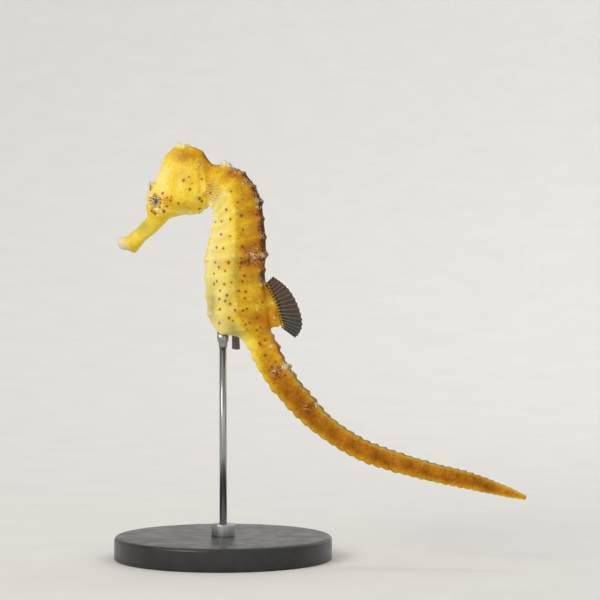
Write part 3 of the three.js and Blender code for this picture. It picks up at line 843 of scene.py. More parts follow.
@dataclass
class Markings:
    """Where the colours of the skin lie.

    A patch is a column, a row, a width and a height on the chart, in steps, and an amount.
    """

    chart: Chart = field(default_factory=Chart)
    head_tone: float = 0.66
    trunk_tone: tuple = (
        (0, 0.06), (0.85, 0.08), (1, 0.2), (1.25, 0.36), (2, 0.46), (2.85, 0.52), (3.1, 0.67), (3.5, 0.78),
        (4.2, 0.86), (5, 0.9), (6, 0.82),
    )
    tail_tone: tuple = (
        (0, 0.22), (0.6, 0.24), (1, 0.5), (1.4, 0.32), (2.2, 0.24), (3, 0.22), (3.8, 0.26), (4.5, 0.4),
        (5, 0.54), (5.4, 0.5), (6, 0.45),
    )
    patches: dict = field(default_factory=lambda: {
        "tone": (
            (160, 182, 9, 12, 0.2), (166, 168, 5, 8, 0.1), (186, 155, 12, 7, -0.24),
            (181, 160, 12, 8, -0.06), (203, 160, 8, 9, -0.22), (205, 172, 5, 8, -0.1),
            (158, 196, 7, 6, 0.16), (181, 206, 9, 4, -0.1), (230, 188, 8, 10, 0.1), (181, 145, 6, 3, 0.55),
            (212, 190, 6, 8, 0.1), (226, 165, 6, 3, 0.4), (270, 322, 5, 9, -0.13), (256, 318, 6, 5, -0.05),
            (254, 296, 9, 15, 0.13), (183, 212, 14, 2, 0.12),
        ),
        "warm": (
            (188, 180, 8, 7, 0.3), (212, 188, 4, 5, 0.6), (228, 178, 10, 5, 0.25), (250, 268, 12, 6, 0.5),
            (265, 296, 4, 4, 0.75), (270, 308, 3, 3, 0.8), (268, 320, 6, 5, 1.2), (276, 314, 2.5, 5, 0.9),
            (258, 315, 3, 3, 0.6), (271, 330, 5, 3, 0.5), (254, 317, 6, 4, 0.4), (280, 350, 8, 8, 0.3),
            (258, 217, 5, 6, 0.45), (223, 262, 9, 5, 0.3), (250, 170, 6, 5, 0.35), (246, 180, 4, 4, 0.45),
            (231, 174, 4, 3, 0.5), (254, 189, 3, 5, 0.35), (258, 232, 3, 7, 0.35), (167, 200, 5, 4, 0.8),
        ),
        "olive": (
            (235, 275, 6, 26, 0.65), (229, 300, 5, 14, 0.4), (212, 302, 4.5, 20, 0.85),
            (235, 329, 10, 7, 0.7), (141, 226, 10, 7, 0.6), (131, 248, 5, 4, 0.5), (185, 208, 14, 5, 0.3),
            (232, 322, 5, 8, 0.3), (262, 280, 4, 7, 0.25),
        ),
        "saddle": (
            (256, 257, 12, 11, 0.75), (245, 248, 5, 5, 0.6), (243, 262, 5, 4, 0.6), (247, 262, 4, 4, 0.4),
            (277, 371, 9, 9, 0.85), (307, 406, 11, 9, 0.7), (258, 244, 5, 4, 0.4), (262, 268, 3, 5, 0.5),
            (236, 176, 6, 3, 0.5), (243, 184, 4, 3, 0.5), (231, 174, 3, 3, 0.7), (154, 212, 3, 3, 0.6),
            (164, 211, 2.5, 2.5, 0.7), (150, 188, 2.5, 3, 0.9),
        ),
        "white": (
            (254, 255, 10, 8, 0.88), (276, 369, 8, 8, 0.8), (287, 362, 5, 8, 1.0), (317, 402, 4, 4, 0.9),
            (227, 166, 7, 4, 1.2), (157, 200, 9, 9, 0.8), (165.5, 207.5, 1.8, 1.5, 1.3),
            (161, 211, 1.5, 2.4, 1.4), (157.4, 214.7, 1.4, 1.5, 1.4), (151.5, 205.5, 3, 2, 0.8),
            (226, 260, 6, 4, 0.7), (178, 144, 3.5, 3, 1.1), (185, 149, 3, 3, 0.85),
            (190, 145, 2.5, 2, 0.9), (240, 171, 6, 3, 0.95), (250, 182, 3, 6, 0.9), (258, 194, 3, 6, 0.9),
            (263, 207, 2.5, 6, 0.95), (264, 236, 2, 8, 0.8), (264, 258, 2, 6, 1.0), (192, 212, 10, 2, 0.7),
        ),
    })
    freckle_radii: tuple[float, float] = (0.8, 1.5)
    freckle_strength: float = 0.42
    faint: tuple = (  # column, row, width, height and number of faint freckles
        (228, 232, 22, 34, 26), (238, 290, 24, 34, 30), (182, 190, 20, 14, 9), (262, 345, 10, 16, 10),
    )
    spot_seed: int = 11
    right_jitter: float = 0.7
    midline: float = 0.8  # a mark nearer the middle than this isn't repeated on the right
    out_of_sight: float = 1e6

    def patch(self, name: str, points: Array) -> Array:
        """Sum of the patches of one kind at each point."""
        column, row = self.chart.read(points)
        total = np.zeros(len(points))
        for c, r, wide, high, amount in self.patches[name]:
            total += amount * np.exp(-(((column - c) / wide) ** 2) - ((row - r) / high) ** 2)
        return total

    def freckles(self) -> tuple:
        """Faint orange spots scattered over fields of the chart, as columns, rows and radii."""
        rng = np.random.default_rng(self.spot_seed + 1)
        found = []
        for c, r, wide, high, count in self.faint:
            place_at = rng.uniform(-1, 1, (count, 2)) * (wide, high) + (c, r)
            sizes = rng.uniform(*self.freckle_radii, count)
            found += [(*spot, size) for spot, size in zip(place_at.tolist(), sizes.tolist())]
        return tuple(found)

    def settle(self, marks: tuple, points: Array, normals: Array) -> list[tuple[Array, tuple]]:
        """Finds where marks of the chart lie on both flanks.

        Args:
            marks: rows that start with a column and a row.
            points: points of the skin.
            normals: their outward directions.

        Returns:
            A point of the skin and the rest of its row, for each mark on each flank.
        """
        rng = np.random.default_rng(self.spot_seed)
        column, row = self.chart.read(points)
        facing = normals[:, 0] * math.sin(self.chart.turn) - normals[:, 1] * math.cos(self.chart.turn)
        hidden = np.where((points[:, 1] < 0.2) & (facing > 0.12), 0.0, self.out_of_sight)
        found = []
        for c, r, *rest in marks:
            spot = points[np.argmin((column - c) ** 2 + (row - r) ** 2 + hidden)]
            found.append((spot, tuple(rest)))
            far = spot * (1, -1, 1) + rng.normal(0, self.right_jitter, 3) * (1, 0, 1)
            if abs(spot[1]) > self.midline:
                found.append((points[np.argmin(((points - far) ** 2).sum(axis=1))], tuple(rest)))
        return found

    def tones(self, points: Array, at: Array, girth: Array, trunk_end: float) -> Array:
        """Lightness of the ground colour, from 0 for the brown back to 1 for the cream belly."""
        fold = fold_over(girth)
        trunk = np.interp(fold, *np.transpose(self.trunk_tone))
        trunk += (0.42 - trunk) * smooth(at, 8.6, 9.6) * (1 - smooth(fold, 1.6, 2.4))
        tail = np.interp(fold, *np.transpose(self.tail_tone))
        tail = tail + 0.22 * (1 - smooth(at, 13, 17.5)) * smooth(fold, 0.9, 1.5)
        tail = tail + 0.2 * smooth(at, 41, 47.5)
        tone = trunk + (tail - trunk) * smooth(at, trunk_end - 1.2, trunk_end + 2.0)
        ridge = bell(fold, 0.8) * (0.22 * smooth(at, -3.0, -1.0) + 0.05 * smooth(at, -0.9, -0.3))
        head = self.head_tone - ridge + 0.12 * smooth(fold, 4.5, 6.0)
        tone = head + (tone - head) * smooth(at, -0.6, 1.6)
        return np.clip(tone + self.patch("tone", points), 0.0, 1.0)


# ---------------------------------------------------------------- the skin
@dataclass
class Skin:
    """One unbroken skin from the lips to the tip of the tail, with its rings, spines, knobs and sockets.

    A span is four places, where something starts, is full, fades and is gone.
    """

    form: Form
    markings: Markings
    voxel: float = 0.205
    rows_per_ring: int = 12
    around: int = 96
    smoothing: int = 6
    relaxing: int = 60
    spine: tuple[float, float, float] = (0.3, 0.28, 0.85)  # height, what a tall one adds, radius
    tall_rings: tuple[int, ...] = (1, 4, 7, 10)
    keel: tuple[float, ...] = (0.12, 0.12, 0.14, 0.16, 0.2, 0.25, 0.5, 0.4, 0.4, 0.35, 0.15)
    keel_radius: float = 0.65
    ridge: tuple[float, float] = (0.12, 0.22)  # rise, and width in places round
    rib: tuple[float, float] = (0.07, 0.11)  # rise, and width in rings
    hollow: float = 0.1
    panel: tuple[float, float] = (0.1, 0.55)  # how far from a ridge it starts, and is full
    tall: tuple[float, float] = (0.75, 0.6)  # share of the spine's radius, and paleness, on a tall ring
    low: tuple[float, float] = (0.6, 0.25)  # and the same on the other rings
    last_upper_spine: int = 9  # ring past which the upper ridges bear no spines
    foot_span: tuple[float, ...] = (8.0, 8.8, 12.0, 12.8)
    foot_tint_span: tuple[float, ...] = (8.2, 9.0, 12.5, 13.5)
    vent_span: tuple[float, ...] = (10.3, 10.9, 12.6, 13.6)
    snout_span: tuple[float, ...] = (-10.3, -9.6, -7.2, -6.4)
    crest_span: tuple[float, ...] = (-1.4, -0.8, 0.6, 1.2)
    tail_span: tuple[float, ...] = (15, 18, 42, 47)
    tail_flank_span: tuple[float, ...] = (1.3, 2.0, 3.9, 4.6)  # in places round
    collar_span: tuple[float, ...] = (1.6, 2.4, 5.0, 5.8)  # in places round
    tail_tooth: float = 0.08
    tooth: tuple[float, float] = (0.16, 0.26)  # place of its crest in a ring, and the length of its fall
    tooth_seed: int = 7
    socket: tuple[float, float, float] = (1.64, 0.56, 0.2)  # radius, depth, rise of the rim
    eye_lobes: int = 9
    gill_column: float = 200.3
    gill_rows: tuple[float, ...] = (158, 166, 198, 204)
    gill_bend: tuple[float, float] = (0.01, 184)  # how fast it curves forward, and below which row
    collar_column: float = 205.8
    collar_rows: tuple[float, ...] = (174, 180, 200, 207)
    cheek: tuple[float, ...] = (184, 190, 11, 10)  # column, row, width and height of its swelling
    coronet: tuple[float, float, float, float] = (-9.0, 90.3, 3.0, 2.5)  # x, z, length, width
    coronet_lobe: tuple[float, float, int] = (0.64, 1.1, 5)  # radius, height, number
    shoulders: tuple = (  # centre and radii of the lumps that round off the crown
        ((-10.7, 0.0, 89.75), (0.95, 1.0, 0.9)),
        ((-6.9, 0.0, 89.8), (1.2, 0.9, 0.8)),
        ((-5.5, 0.0, 89.0), (1.2, 0.9, 0.85)),
    )
    brow: tuple[float, float, float] = (-15.7, 1.6, 82.3)
    brow_radii: tuple[float, float, float] = (0.6, 0.48, 0.75)
    hump: "Hump | None" = None
    nodes: tuple[str, ...] = (
        "mouth", "snout", "head", "coronet", "neck", "trunk_upper", "trunk_middle", "trunk_lower",
        "tail_1", "tail_2", "tail_3", "tail_4", "tail_5",
    )

    @staticmethod
    def egg(centre: tuple | Array, radii: tuple, rows: int = 16, around: int = 24) -> tuple[Array, list]:
        """An ellipsoid as a closed loft.

        Args:
            centre: its middle.
            radii: half its size along x, y and z.
            rows: rings of points from pole to pole.
            around: points in a ring.

        Returns:
            Points and faces.
        """
        lean = np.linspace(0.03, math.pi - 0.03, rows)[:, None]
        turn = full_turn(around)[None, :]
        side = np.sin(lean)
        shape = np.stack([side * np.cos(turn), side * np.sin(turn), np.cos(lean) + 0 * turn], axis=2)
        return (shape * radii + np.asarray(centre)).reshape(-1, 3), loft_faces(rows, around)

    def lumps(self) -> list[tuple[Array, list]]:
        """Closed shapes under the skin besides the body: coronet, brows and the dorsal fin's foot."""
        x, z, length, width = self.coronet
        radius, high, lobes = self.coronet_lobe
        found = [self.egg((x, 0, z), (length / 2, width / 2, 0.98))]
        for lobe in range(lobes):
            turn = 2 * math.pi * lobe / lobes
            spot = (x + math.cos(turn) * (length / 2 - 0.3), math.sin(turn) * (width / 2 - 0.2), z + 0.3)
            grade = 0.86 + 0.2 * math.cos(2.3 * lobe + 2.0)
            found.append(self.egg(spot, (radius * grade, radius * grade, high * grade)))
        found += [self.egg(spot, radii) for spot, radii in self.shoulders]
        for side in (-1, 1):
            bx, by, bz = self.brow
            found.append(self.egg((bx, side * by, bz), self.brow_radii))
        if self.hump:
            found.append(self.hump.loft())
        return found

    def cover(self) -> tuple[Piece, Array, Array, Array, Array, Array]:
        """Draws one skin over the body and its lumps, and finds each point's place on the form.

        Returns:
            The object in millimetres, its points, their outward directions, their places along and round,
            and how far each stood off the form.
        """
        girth = np.arange(self.around) * LOOP / self.around
        count = int(round((self.form.last - self.form.first) * self.rows_per_ring)) + 1
        at = np.linspace(self.form.first, self.form.last, count)
        body = self.form.rings(at, girth).reshape(-1, 3)
        verts, faces = [body], loft_faces(len(at), self.around)
        start = len(body)
        for more, corners in self.lumps():
            faces = faces + [tuple(c + start for c in face) for face in corners]
            verts.append(more)
            start += len(more)
        piece = mesh_object("skin", np.vstack(verts) / MM, faces)
        face_outward(piece)
        coat = piece.modifiers.new("one_skin", "REMESH")
        coat.mode = "VOXEL"
        coat.voxel_size = self.voxel
        coat.adaptivity = 0.0
        soft = piece.modifiers.new("soften", "SMOOTH")
        soft.factor, soft.iterations = 0.5, self.smoothing
        mesh = take_mesh(piece)
        points, _ = read_points(mesh)
        along, around, proud = self.locate(points, body, at)
        edges = np.empty(len(mesh.edges) * 2, np.int32)
        mesh.edges.foreach_get("vertices", edges)
        fold = fold_over(around)
        foot = window(along, *self.foot_span) * (1 - smooth(fold, 2.0, 2.8))
        vent = window(along, *self.vent_span) * smooth(fold, 2.2, 3.2)
        x, z, _, _ = self.coronet
        crown = 0.05 * bell(np.linalg.norm(points - (x, 0, z - 0.6), axis=1), 2.6)
        weight = np.clip(foot + vent + crown, 0, 1)
        points = relax(points, edges.reshape(-1, 2), weight, self.relaxing)
        mesh.vertices.foreach_set("co", points.astype(np.float32).ravel())
        mesh.update()
        points, normals = read_points(mesh)
        return piece, points, normals, along, around, proud

    def locate(self, points: Array, body: Array, at: Array) -> tuple[Array, Array, Array]:
        """Finds the nearest place on the form to each point.

        Args:
            points: points of the skin.
            body: points of the form, row by row.
            at: place along the body of each row.

        Returns:
            Place along, place round and distance from the form for each point.
        """
        around = self.around
        corners = []
        for row in range(len(at) - 1):
            for k in range(around):
                a, b = row * around + k, row * around + (k + 1) % around
                corners += [(a, b, b + around), (a, b + around, a + around)]
        tree = BVHTree.FromPolygons(body.tolist(), corners)
        hits = [tree.find_nearest(p) for p in points.tolist()]
        where = np.array([h[0] for h in hits])
        index = np.array([h[2] for h in hits])
        row, k = np.divmod(index // 2, around)
        a, b = body[row * around + k], body[row * around + (k + 1) % around]
        d, c = body[(row + 1) * around + k], body[(row + 1) * around + (k + 1) % around]
        across = (b - a + c - d) / 2
        ahead = (d - a + c - b) / 2
        offset = where - (a + b + c + d) / 4
        u = 0.5 + np.einsum("ij,ij->i", offset, across) / np.einsum("ij,ij->i", across, across)
        v = 0.5 + np.einsum("ij,ij->i", offset, ahead) / np.einsum("ij,ij->i", ahead, ahead)
        step = at[1] - at[0]
        proud = np.array([h[3] for h in hits])
        return at[row] + np.clip(v, 0, 1) * step, ((k + np.clip(u, 0, 1)) * LOOP / around) % LOOP, proud

    def relief(self, points: Array, at: Array, girth: Array) -> tuple[Array, dict[str, Array]]:
        """How far each point is raised over the smooth form, and the marks that go with the relief.

        Args:
            points: points of the skin.
            at: their places along.
            girth: their places round.

        Returns:
            Heights in millimetres, and marks by name.
        """
        fold = fold_over(girth)
        ring = np.round(at)
        first_tail = self.form.trunk_rings + 1
        trunk = window(at, 0.4, 1.0, first_tail - 0.8, first_tail + 0.2)
        tail = smooth(at, first_tail - 0.8, first_tail + 0.2)
        off_ridge = np.min([np.abs(fold - ridge) for ridge in (1, 3, 5)], axis=0)
        (ridge_rise, ridge_width), (rib_rise, rib_width) = self.ridge, self.rib
        rise = (ridge_rise * bell(off_ridge, ridge_width)) * trunk
        rib = bell(at - ring, rib_width)
        between = 0.5 - 0.5 * np.cos(2 * np.pi * at)
        panel = smooth(off_ridge, *self.panel)
        rise += (rib_rise * rib - self.hollow * between * panel) * trunk * smooth(at, 1.2, 2.0)
        knob = np.zeros(len(points))
        height, extra, radius = self.spine
        for number in range(1, self.form.trunk_rings + 1):
            tall = number in self.tall_rings
            share, paleness = self.tall if tall else self.low
            high = height + (extra if tall else 0.0)
            for ridge in (3, 5, 7, 9) if number > self.last_upper_spine else (1, 3, 5, 7, 9, 11):
                top = self.form.point(float(number), float(ridge))
                near = bell(np.linalg.norm(points - top, axis=1), radius * share)
                rise += high * near
                knob = np.maximum(knob, paleness * near**2)
            below = self.form.point(float(number), 6.0)
            keel = bell(np.linalg.norm(points - below, axis=1), self.keel_radius)
            rise += self.keel[number - 1] * keel
            knob = np.maximum(knob, 0.4 * keel**2)
        rise += self.tail_rise(at, fold, tail)
        # painted shade: marks the hollow panels of the trunk and a trough across each ring of the tail
        crease = 0.3 * between * panel * trunk + 0.35 * bell(at - np.floor(at) - 0.62, 0.12) * tail
        return rise, {"knob": knob, "crease": crease, "rib": rib * trunk}

    def tail_rise(self, at: Array, fold: Array, tail: Array) -> Array:
        """Relief of the tail's edges: each ring swells as a scallop, with a tooth near its hind end.

        Args:
            at: places along.
            fold: places round, the right flank folded onto the left.
            tail: 1 on the tail and 0 on the trunk.

        Returns:
            Heights in millimetres.
        """
        first = self.form.trunk_rings + 1
        depth = self.form.depth(np.arange(first, self.form.last + 1))
        deep = np.interp(at, np.arange(first, self.form.last + 1), depth)
        phase = at - np.round(at)
        top, fall = self.tooth
        climb = ((phase + 0.5) / (top + 0.5)) ** 1.4
        tooth = np.where(phase < top, climb, np.clip(1 - (phase - top) / fall, 0, 1))
        scallop = np.sqrt(np.clip(np.cos(np.pi * phase), 0, 1))
        above = bell(fold - 1, 0.5) + 0.35 * bell(fold - 3, 0.3)
        below = bell(fold - 5, 0.55)
        crest = (0.6 * tooth + 0.4 * scallop) * above + (0.25 * tooth + 0.75 * scallop) * below
        uneven = np.random.default_rng(self.tooth_seed).uniform(0.6, 1.35, self.form.tail_rings + 4)
        grade = uneven[np.clip(np.round(at) - first + 1, 0, self.form.tail_rings + 2).astype(int)]
        swell = self.tail_tooth * deep * crest * grade + 0.014 * deep * tooth
        return swell * tail * (1 - smooth(at, self.form.last - 1.5, self.form.last - 0.3))

    def face(self, points: Array, at: Array, fold: Array) -> tuple[Array, dict[str, Array]]:
        """Relief of the head: sockets, gill covers, cheek, ridges of the crown, lips and mouth.

        Args:
            points: points of the skin.
            at: their places along.
            fold: their places round, the right flank folded onto the left.

        Returns:
            Heights in millimetres, and marks by name.
        """
        column, row = self.markings.chart.read(points)
        head = 1 - smooth(at, 0.2, 1.0)
        flank = smooth(np.abs(points[:, 1]), 0.9, 1.6) * head
        rise, beam = (values * flank for values in self.orbit(points))
        gill = window(row, *self.gill_rows) * head * flank
        curve, start = self.gill_bend
        line = column - self.gill_column + curve * np.maximum(row - start, 0) ** 2
        rise += (-0.09 * bell(line, 1.6) + 0.09 * bell(line + 3.2, 2.2)) * gill
        collar = window(row, *self.collar_rows) * window(fold, *self.collar_span)
        rise += 0.24 * bell(column - self.collar_column, 1.3) * collar
        middle, level, wide, high = self.cheek
        rise += 0.16 * bell(np.hypot((column - middle) / wide, (row - level) / high), 1.0) * flank
        rise += 0.16 * bell(fold, 0.35) * window(at, *self.crest_span)
        rise += 0.09 * (bell(fold - 2.0, 0.35) + bell(fold - 4.4, 0.4)) * window(at, *self.snout_span)
        rise += self.mouth(points, at)
        # gill is painted shade along the groove of the gill cover
        return rise, {
            "lip": 0.88 * (1 - smooth(at, -11.4, -10.55)), "gill": bell(line, 1.7) * gill,
            "white": 1.2 * np.clip(beam, 0, 1), "saddle": 0.7 * np.clip(-beam, 0, 1),
        }

    def orbit(self, points: Array) -> tuple[Array, Array]:
        """Relief round the eye: a socket with a lobed rim, and beams that run out over the skin.

        Args:
            points: points of the skin.

        Returns:
            Heights in millimetres, and the beams, above 0 where pale and below 0 where dark.
        """
        x, _, z = EYE_CENTRE
        dx, dz = points[:, 0] - x, points[:, 2] - z
        away, angle = np.hypot(dx, dz), np.arctan2(dz, dx)
        radius, depth, rim = self.socket
        lobes = 1 + 0.45 * np.cos(self.eye_lobes * angle + 0.7)
        floor = depth * (1 - smooth(away, radius * 0.68, radius))
        rise = rim * bell(away - radius - 0.28, 0.26) * lobes - floor
        beam = 0.8 * np.cos(self.eye_lobes * angle + 0.7 + 2.2 * np.sin(2 * angle))
        beam = beam + 0.5 * np.cos(5 * angle + 2.0)
        return rise, beam * bell(away - radius + 0.05, 0.4)

    def mouth(self, points: Array, at: Array) -> Array:
        """Relief of the lips: they swell a little and are parted by the slit of the mouth.

        Args:
            points: points of the skin.
            at: their places along.

        Returns:
            Heights in millimetres.
        """
        centre = self.form.shape(np.clip(at, self.form.first, 0))
        middle = (centre[:, 0:2] + centre[:, 2:4]) / 2
        up = centre[:, 0:2] - centre[:, 2:4]
        up = up / np.linalg.norm(up, axis=1)[:, None]
        lift = (points[:, 0] - middle[:, 0]) * up[:, 0] + (points[:, 2] - middle[:, 1]) * up[:, 1]
        end = 1 - smooth(at, -11.95, -11.55)
        slit = bell(lift, 0.22) * end * bell(points[:, 1], 0.95)
        return 0.22 * (1 - smooth(at, -11.7, -11.2)) - 0.6 * slit

    def dress(self) -> Piece:
        """Builds the skin, raises its relief and paints its marks.

        Returns:
            The finished skin in place of the solids of the body.
        """
        piece, points, normals, at, girth, proud = self.cover()
        fold = fold_over(girth)
        rise, marks = self.relief(points, at, girth)
        more, face_marks = self.face(points, at, fold)
        rise = rise + more
        knob = marks.pop("knob")
        markings, step = self.markings, self.markings.chart.step
        for spot, (radius, height) in markings.settle(KNOBS, points, normals):
            near = bell(np.linalg.norm(points - spot, axis=1), 0.85 * radius * step)
            rise += 0.9 * height * near
            knob = np.maximum(knob, 0.9 * near**2.5)
        spots = np.zeros(len(points))
        for rows, strength in ((SPOTS, 1.0), (markings.freckles(), markings.freckle_strength)):
            for spot, (radius,) in markings.settle(rows, points, normals):
                away = np.linalg.norm(points - spot, axis=1) / (2 * radius * step)
                spots = np.maximum(spots, strength * (1 - away))
        tone = markings.tones(points, at, girth, self.form.trunk_rings + 1.0)
        tone = tone + 0.04 * marks.pop("rib")
        tail_flank = window(at, *self.tail_span) * window(fold, *self.tail_flank_span)
        foot = smooth(proud, 0.1, 0.7) * window(at, *self.foot_tint_span)
        marks["tone"] = tone + (0.54 - tone) * foot
        marks["spot"] = spots
        marks["knob"] = np.clip(knob, 0, 1) * 0.72
        # painted shade of the creases, with the gill groove's painted shade added
        marks["crease"] = np.clip(marks["crease"] + 0.45 * face_marks.pop("gill"), 0, 1) * 0.5
        # lip: pale lip colour with a painted highlight over the lip ends
        marks["lip"] = face_marks["lip"]
        rim = smooth(at, 13, 16) * (0.5 * (1 - smooth(fold, 1.0, 1.5)) + 0.35 * smooth(fold, 4.4, 5.0))
        bare = smooth(-at, 1.5, 2.5) * (1 - smooth(np.abs(points[:, 1]), 0.7, 1.4))
        patch = {name: markings.patch(name, points) for name in ("warm", "olive", "saddle", "white")}
        marks["warm"] = np.clip(patch["warm"] + 0.25 * tail_flank + 0.1 * foot, 0, 1)
        marks["olive"] = np.clip(patch["olive"] + rim, 0, 1)
        marks["saddle"] = np.clip(patch["saddle"] * (1 - bare) + face_marks["saddle"], 0, 1)
        marks["white"] = np.clip(patch["white"] + face_marks["white"], 0, 1)
        moved = (points + normals * rise[:, None]) * MM
        mesh = piece.data
        mesh.vertices.foreach_set("co", moved.astype(np.float32).ravel())
        write_marks(mesh, marks)
        mesh.shade_smooth()
        mesh.update()
        mesh.materials.clear()
        mesh.materials.append(SkinFinish().build())
        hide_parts(*self.nodes)
        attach(piece, BODY)
        return piece


# ---------------------------------------------------------------- eyes
@dataclass
class Eyes:
    """The two eyes, each a shallow dome with spokes in its iris."""

    centre: tuple[float, float, float] = EYE_CENTRE
    radius: float = 1.65
    bulge: float = 1.25
    rows: int = 40
    around: int = 64
    pupil_offset: tuple[float, float] = (0.16, 0.03)

    def build(self) -> list[Piece]:
        """Builds both eyes in place of their solids."""
        finish = EyeFinish().build()
        return [self.one(side, name, finish) for side, name in ((-1, "eye_left"), (1, "eye_right"))]

    def one(self, side: int, node: str, finish: Material) -> Piece:
        """Builds one eye.

        Args:
            side: -1 for the left eye and 1 for the right one.
            node: the solid that the eye stands for.
            finish: its material.

        Returns:
            The eye.
        """
        lean = np.linspace(0.01, math.pi - 0.01, self.rows)[:, None]
        turn = full_turn(self.around)[None, :]
        wide = np.sin(lean)
        unit = np.stack([wide * np.cos(turn), np.cos(lean) + 0 * turn, wide * np.sin(turn)], axis=2)
        unit = unit.reshape(-1, 3)
        x, y, z = self.centre
        points = unit * (self.radius, self.bulge * side, self.radius) + (x, side * y, z)
        offset = unit[:, [0, 2]] - self.pupil_offset
        reach = np.hypot(offset[:, 0], offset[:, 1])
        around = offset / np.maximum(reach, 1e-6)[:, None]
        spoke = np.stack([around[:, 0], around[:, 1], 0.7 * reach + 5.0 * (side > 0)], axis=1)
        piece = mesh_object(node, points, loft_faces(self.rows, self.around), {
            "reach": reach, "rim": np.hypot(unit[:, 0], unit[:, 2]), "spoke": spoke,
        })
        piece.name = f"{node}_ball"
        face_outward(piece)
        piece.data.materials.append(finish)
        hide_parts(node)
        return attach(piece, BODY)


# ---------------------------------------------------------------- growing small things along paths
class Recipe:
    """A Geometry Nodes tree with named inputs, run once on a piece and then baked into its mesh."""

    def __init__(self, name: str, sizes: dict[str, float]) -> None:
        """Starts a tree.

        Args:
            name: the tree's name.
            sizes: its inputs besides the geometry and the material, with their usual values.
        """
        self.tree = bpy.data.node_groups.new(name, "GeometryNodeTree")
        face = self.tree.interface
        face.new_socket("Geometry", in_out="INPUT", socket_type="NodeSocketGeometry")
        self.keys = {}
        for label, value in sizes.items():
            kind = "NodeSocketInt" if isinstance(value, int) else "NodeSocketFloat"
            item = face.new_socket(label, in_out="INPUT", socket_type=kind)
            item.default_value = value
            self.keys[label] = item.identifier
        item = face.new_socket("Finish", in_out="INPUT", socket_type="NodeSocketMaterial")
        self.keys["Finish"] = item.identifier
        face.new_socket("Geometry", in_out="OUTPUT", socket_type="NodeSocketGeometry")
        self.sheet = Sheet(self.tree)
        self.entry = self.sheet.add("NodeGroupInput").outputs

    def close(self, geometry: Socket) -> "Recipe":
        """Ends the tree: copies become real mesh, shaded smooth, with the finish on it."""
        real = self.sheet.add("GeometryNodeRealizeInstances", {"Geometry": geometry})
        soft = self.sheet.add("GeometryNodeSetShadeSmooth", {"Geometry": real.outputs[0]})
        dressed = {"Geometry": soft.outputs[0], "Material": self.entry["Finish"]}
        done = self.sheet.add("GeometryNodeSetMaterial", dressed)
        self.sheet.add("NodeGroupOutput", {"Geometry": done.outputs[0]})
        return self

    def run(self, piece: Piece, finish: Material, **sizes: float) -> Piece:
        """Runs the tree on a piece and bakes the result.

        Args:
            piece: the object that holds the tree's path or points.
            finish: the material of what grows.
            sizes: inputs to set, by name, with a space written as an underscore.

        Returns:
            The same piece with its new mesh.
        """
        grown = piece.modifiers.new(self.tree.name, "NODES")
        grown.node_group = self.tree
        for label, value in sizes.items():
            grown[self.keys[label.replace("_", " ")]] = value
        grown[self.keys["Finish"]] = finish
        take_mesh(piece)
        return piece


def ray_recipe() -> Recipe:
    """Tapered round rods along the edges of a piece, as a fin's rays are."""
    recipe = Recipe("fin_rays", {"Foot radius": 0.0001, "Tip radius": 0.00003, "Sides": 8})
    sheet, entry = recipe.sheet, recipe.entry
    path = sheet.add("GeometryNodeMeshToCurve", {"Mesh": entry["Geometry"]}).outputs[0]
    share = sheet.add("GeometryNodeSplineParameter").outputs["Factor"]
    ends = {"To Min": entry["Foot radius"], "To Max": entry["Tip radius"]}
    taper = sheet.add("ShaderNodeMapRange", {"Value": share, **ends})
    rim = sheet.add("GeometryNodeCurvePrimitiveCircle", {"Resolution": entry["Sides"], "Radius": 1.0})
    rod = sheet.add("GeometryNodeCurveToMesh", {
        "Curve": path, "Profile Curve": rim.outputs["Curve"], "Fill Caps": True, "Scale": taper.outputs[0],
    })
    return recipe.close(rod.outputs[0])


def bud_recipe() -> Recipe:
    """Small buds standing on a piece's points, along the direction painted there as way."""
    recipe = Recipe("skin_buds", {"Radius": 0.0002, "Stretch": 1.0, "Least": 0.7, "Most": 1.3, "Seed": 1})
    sheet, entry = recipe.sheet, recipe.entry
    bud = sheet.add("GeometryNodeMeshUVSphere", {"Segments": 8, "Rings": 6, "Radius": entry["Radius"]})
    tall = sheet.add("ShaderNodeCombineXYZ", {"X": 1.0, "Y": 1.0, "Z": entry["Stretch"]}).outputs[0]
    shaped = sheet.add("GeometryNodeTransform", {"Geometry": bud.outputs["Mesh"], "Scale": tall}).outputs[0]
    way, size = (
        sheet.add("GeometryNodeInputNamedAttribute", {"Name": name}, data_type=kind).outputs["Attribute"]
        for name, kind in (("way", "FLOAT_VECTOR"), ("size", "FLOAT"))
    )
    turn = sheet.add("FunctionNodeAlignRotationToVector", {"Vector": way}, axis="Z").outputs[0]
    chance = sheet.add("FunctionNodeRandomValue", {
        "Min_001": entry["Least"], "Max_001": entry["Most"], "Seed": entry["Seed"],
    })
    grade = sheet.times(size, Sheet.pick_output(chance, "Value_001"))
    buds = sheet.add("GeometryNodeInstanceOnPoints", {
        "Points": entry["Geometry"], "Instance": shaped, "Rotation": turn, "Scale": grade,
    })
    return recipe.close(buds.outputs[0])


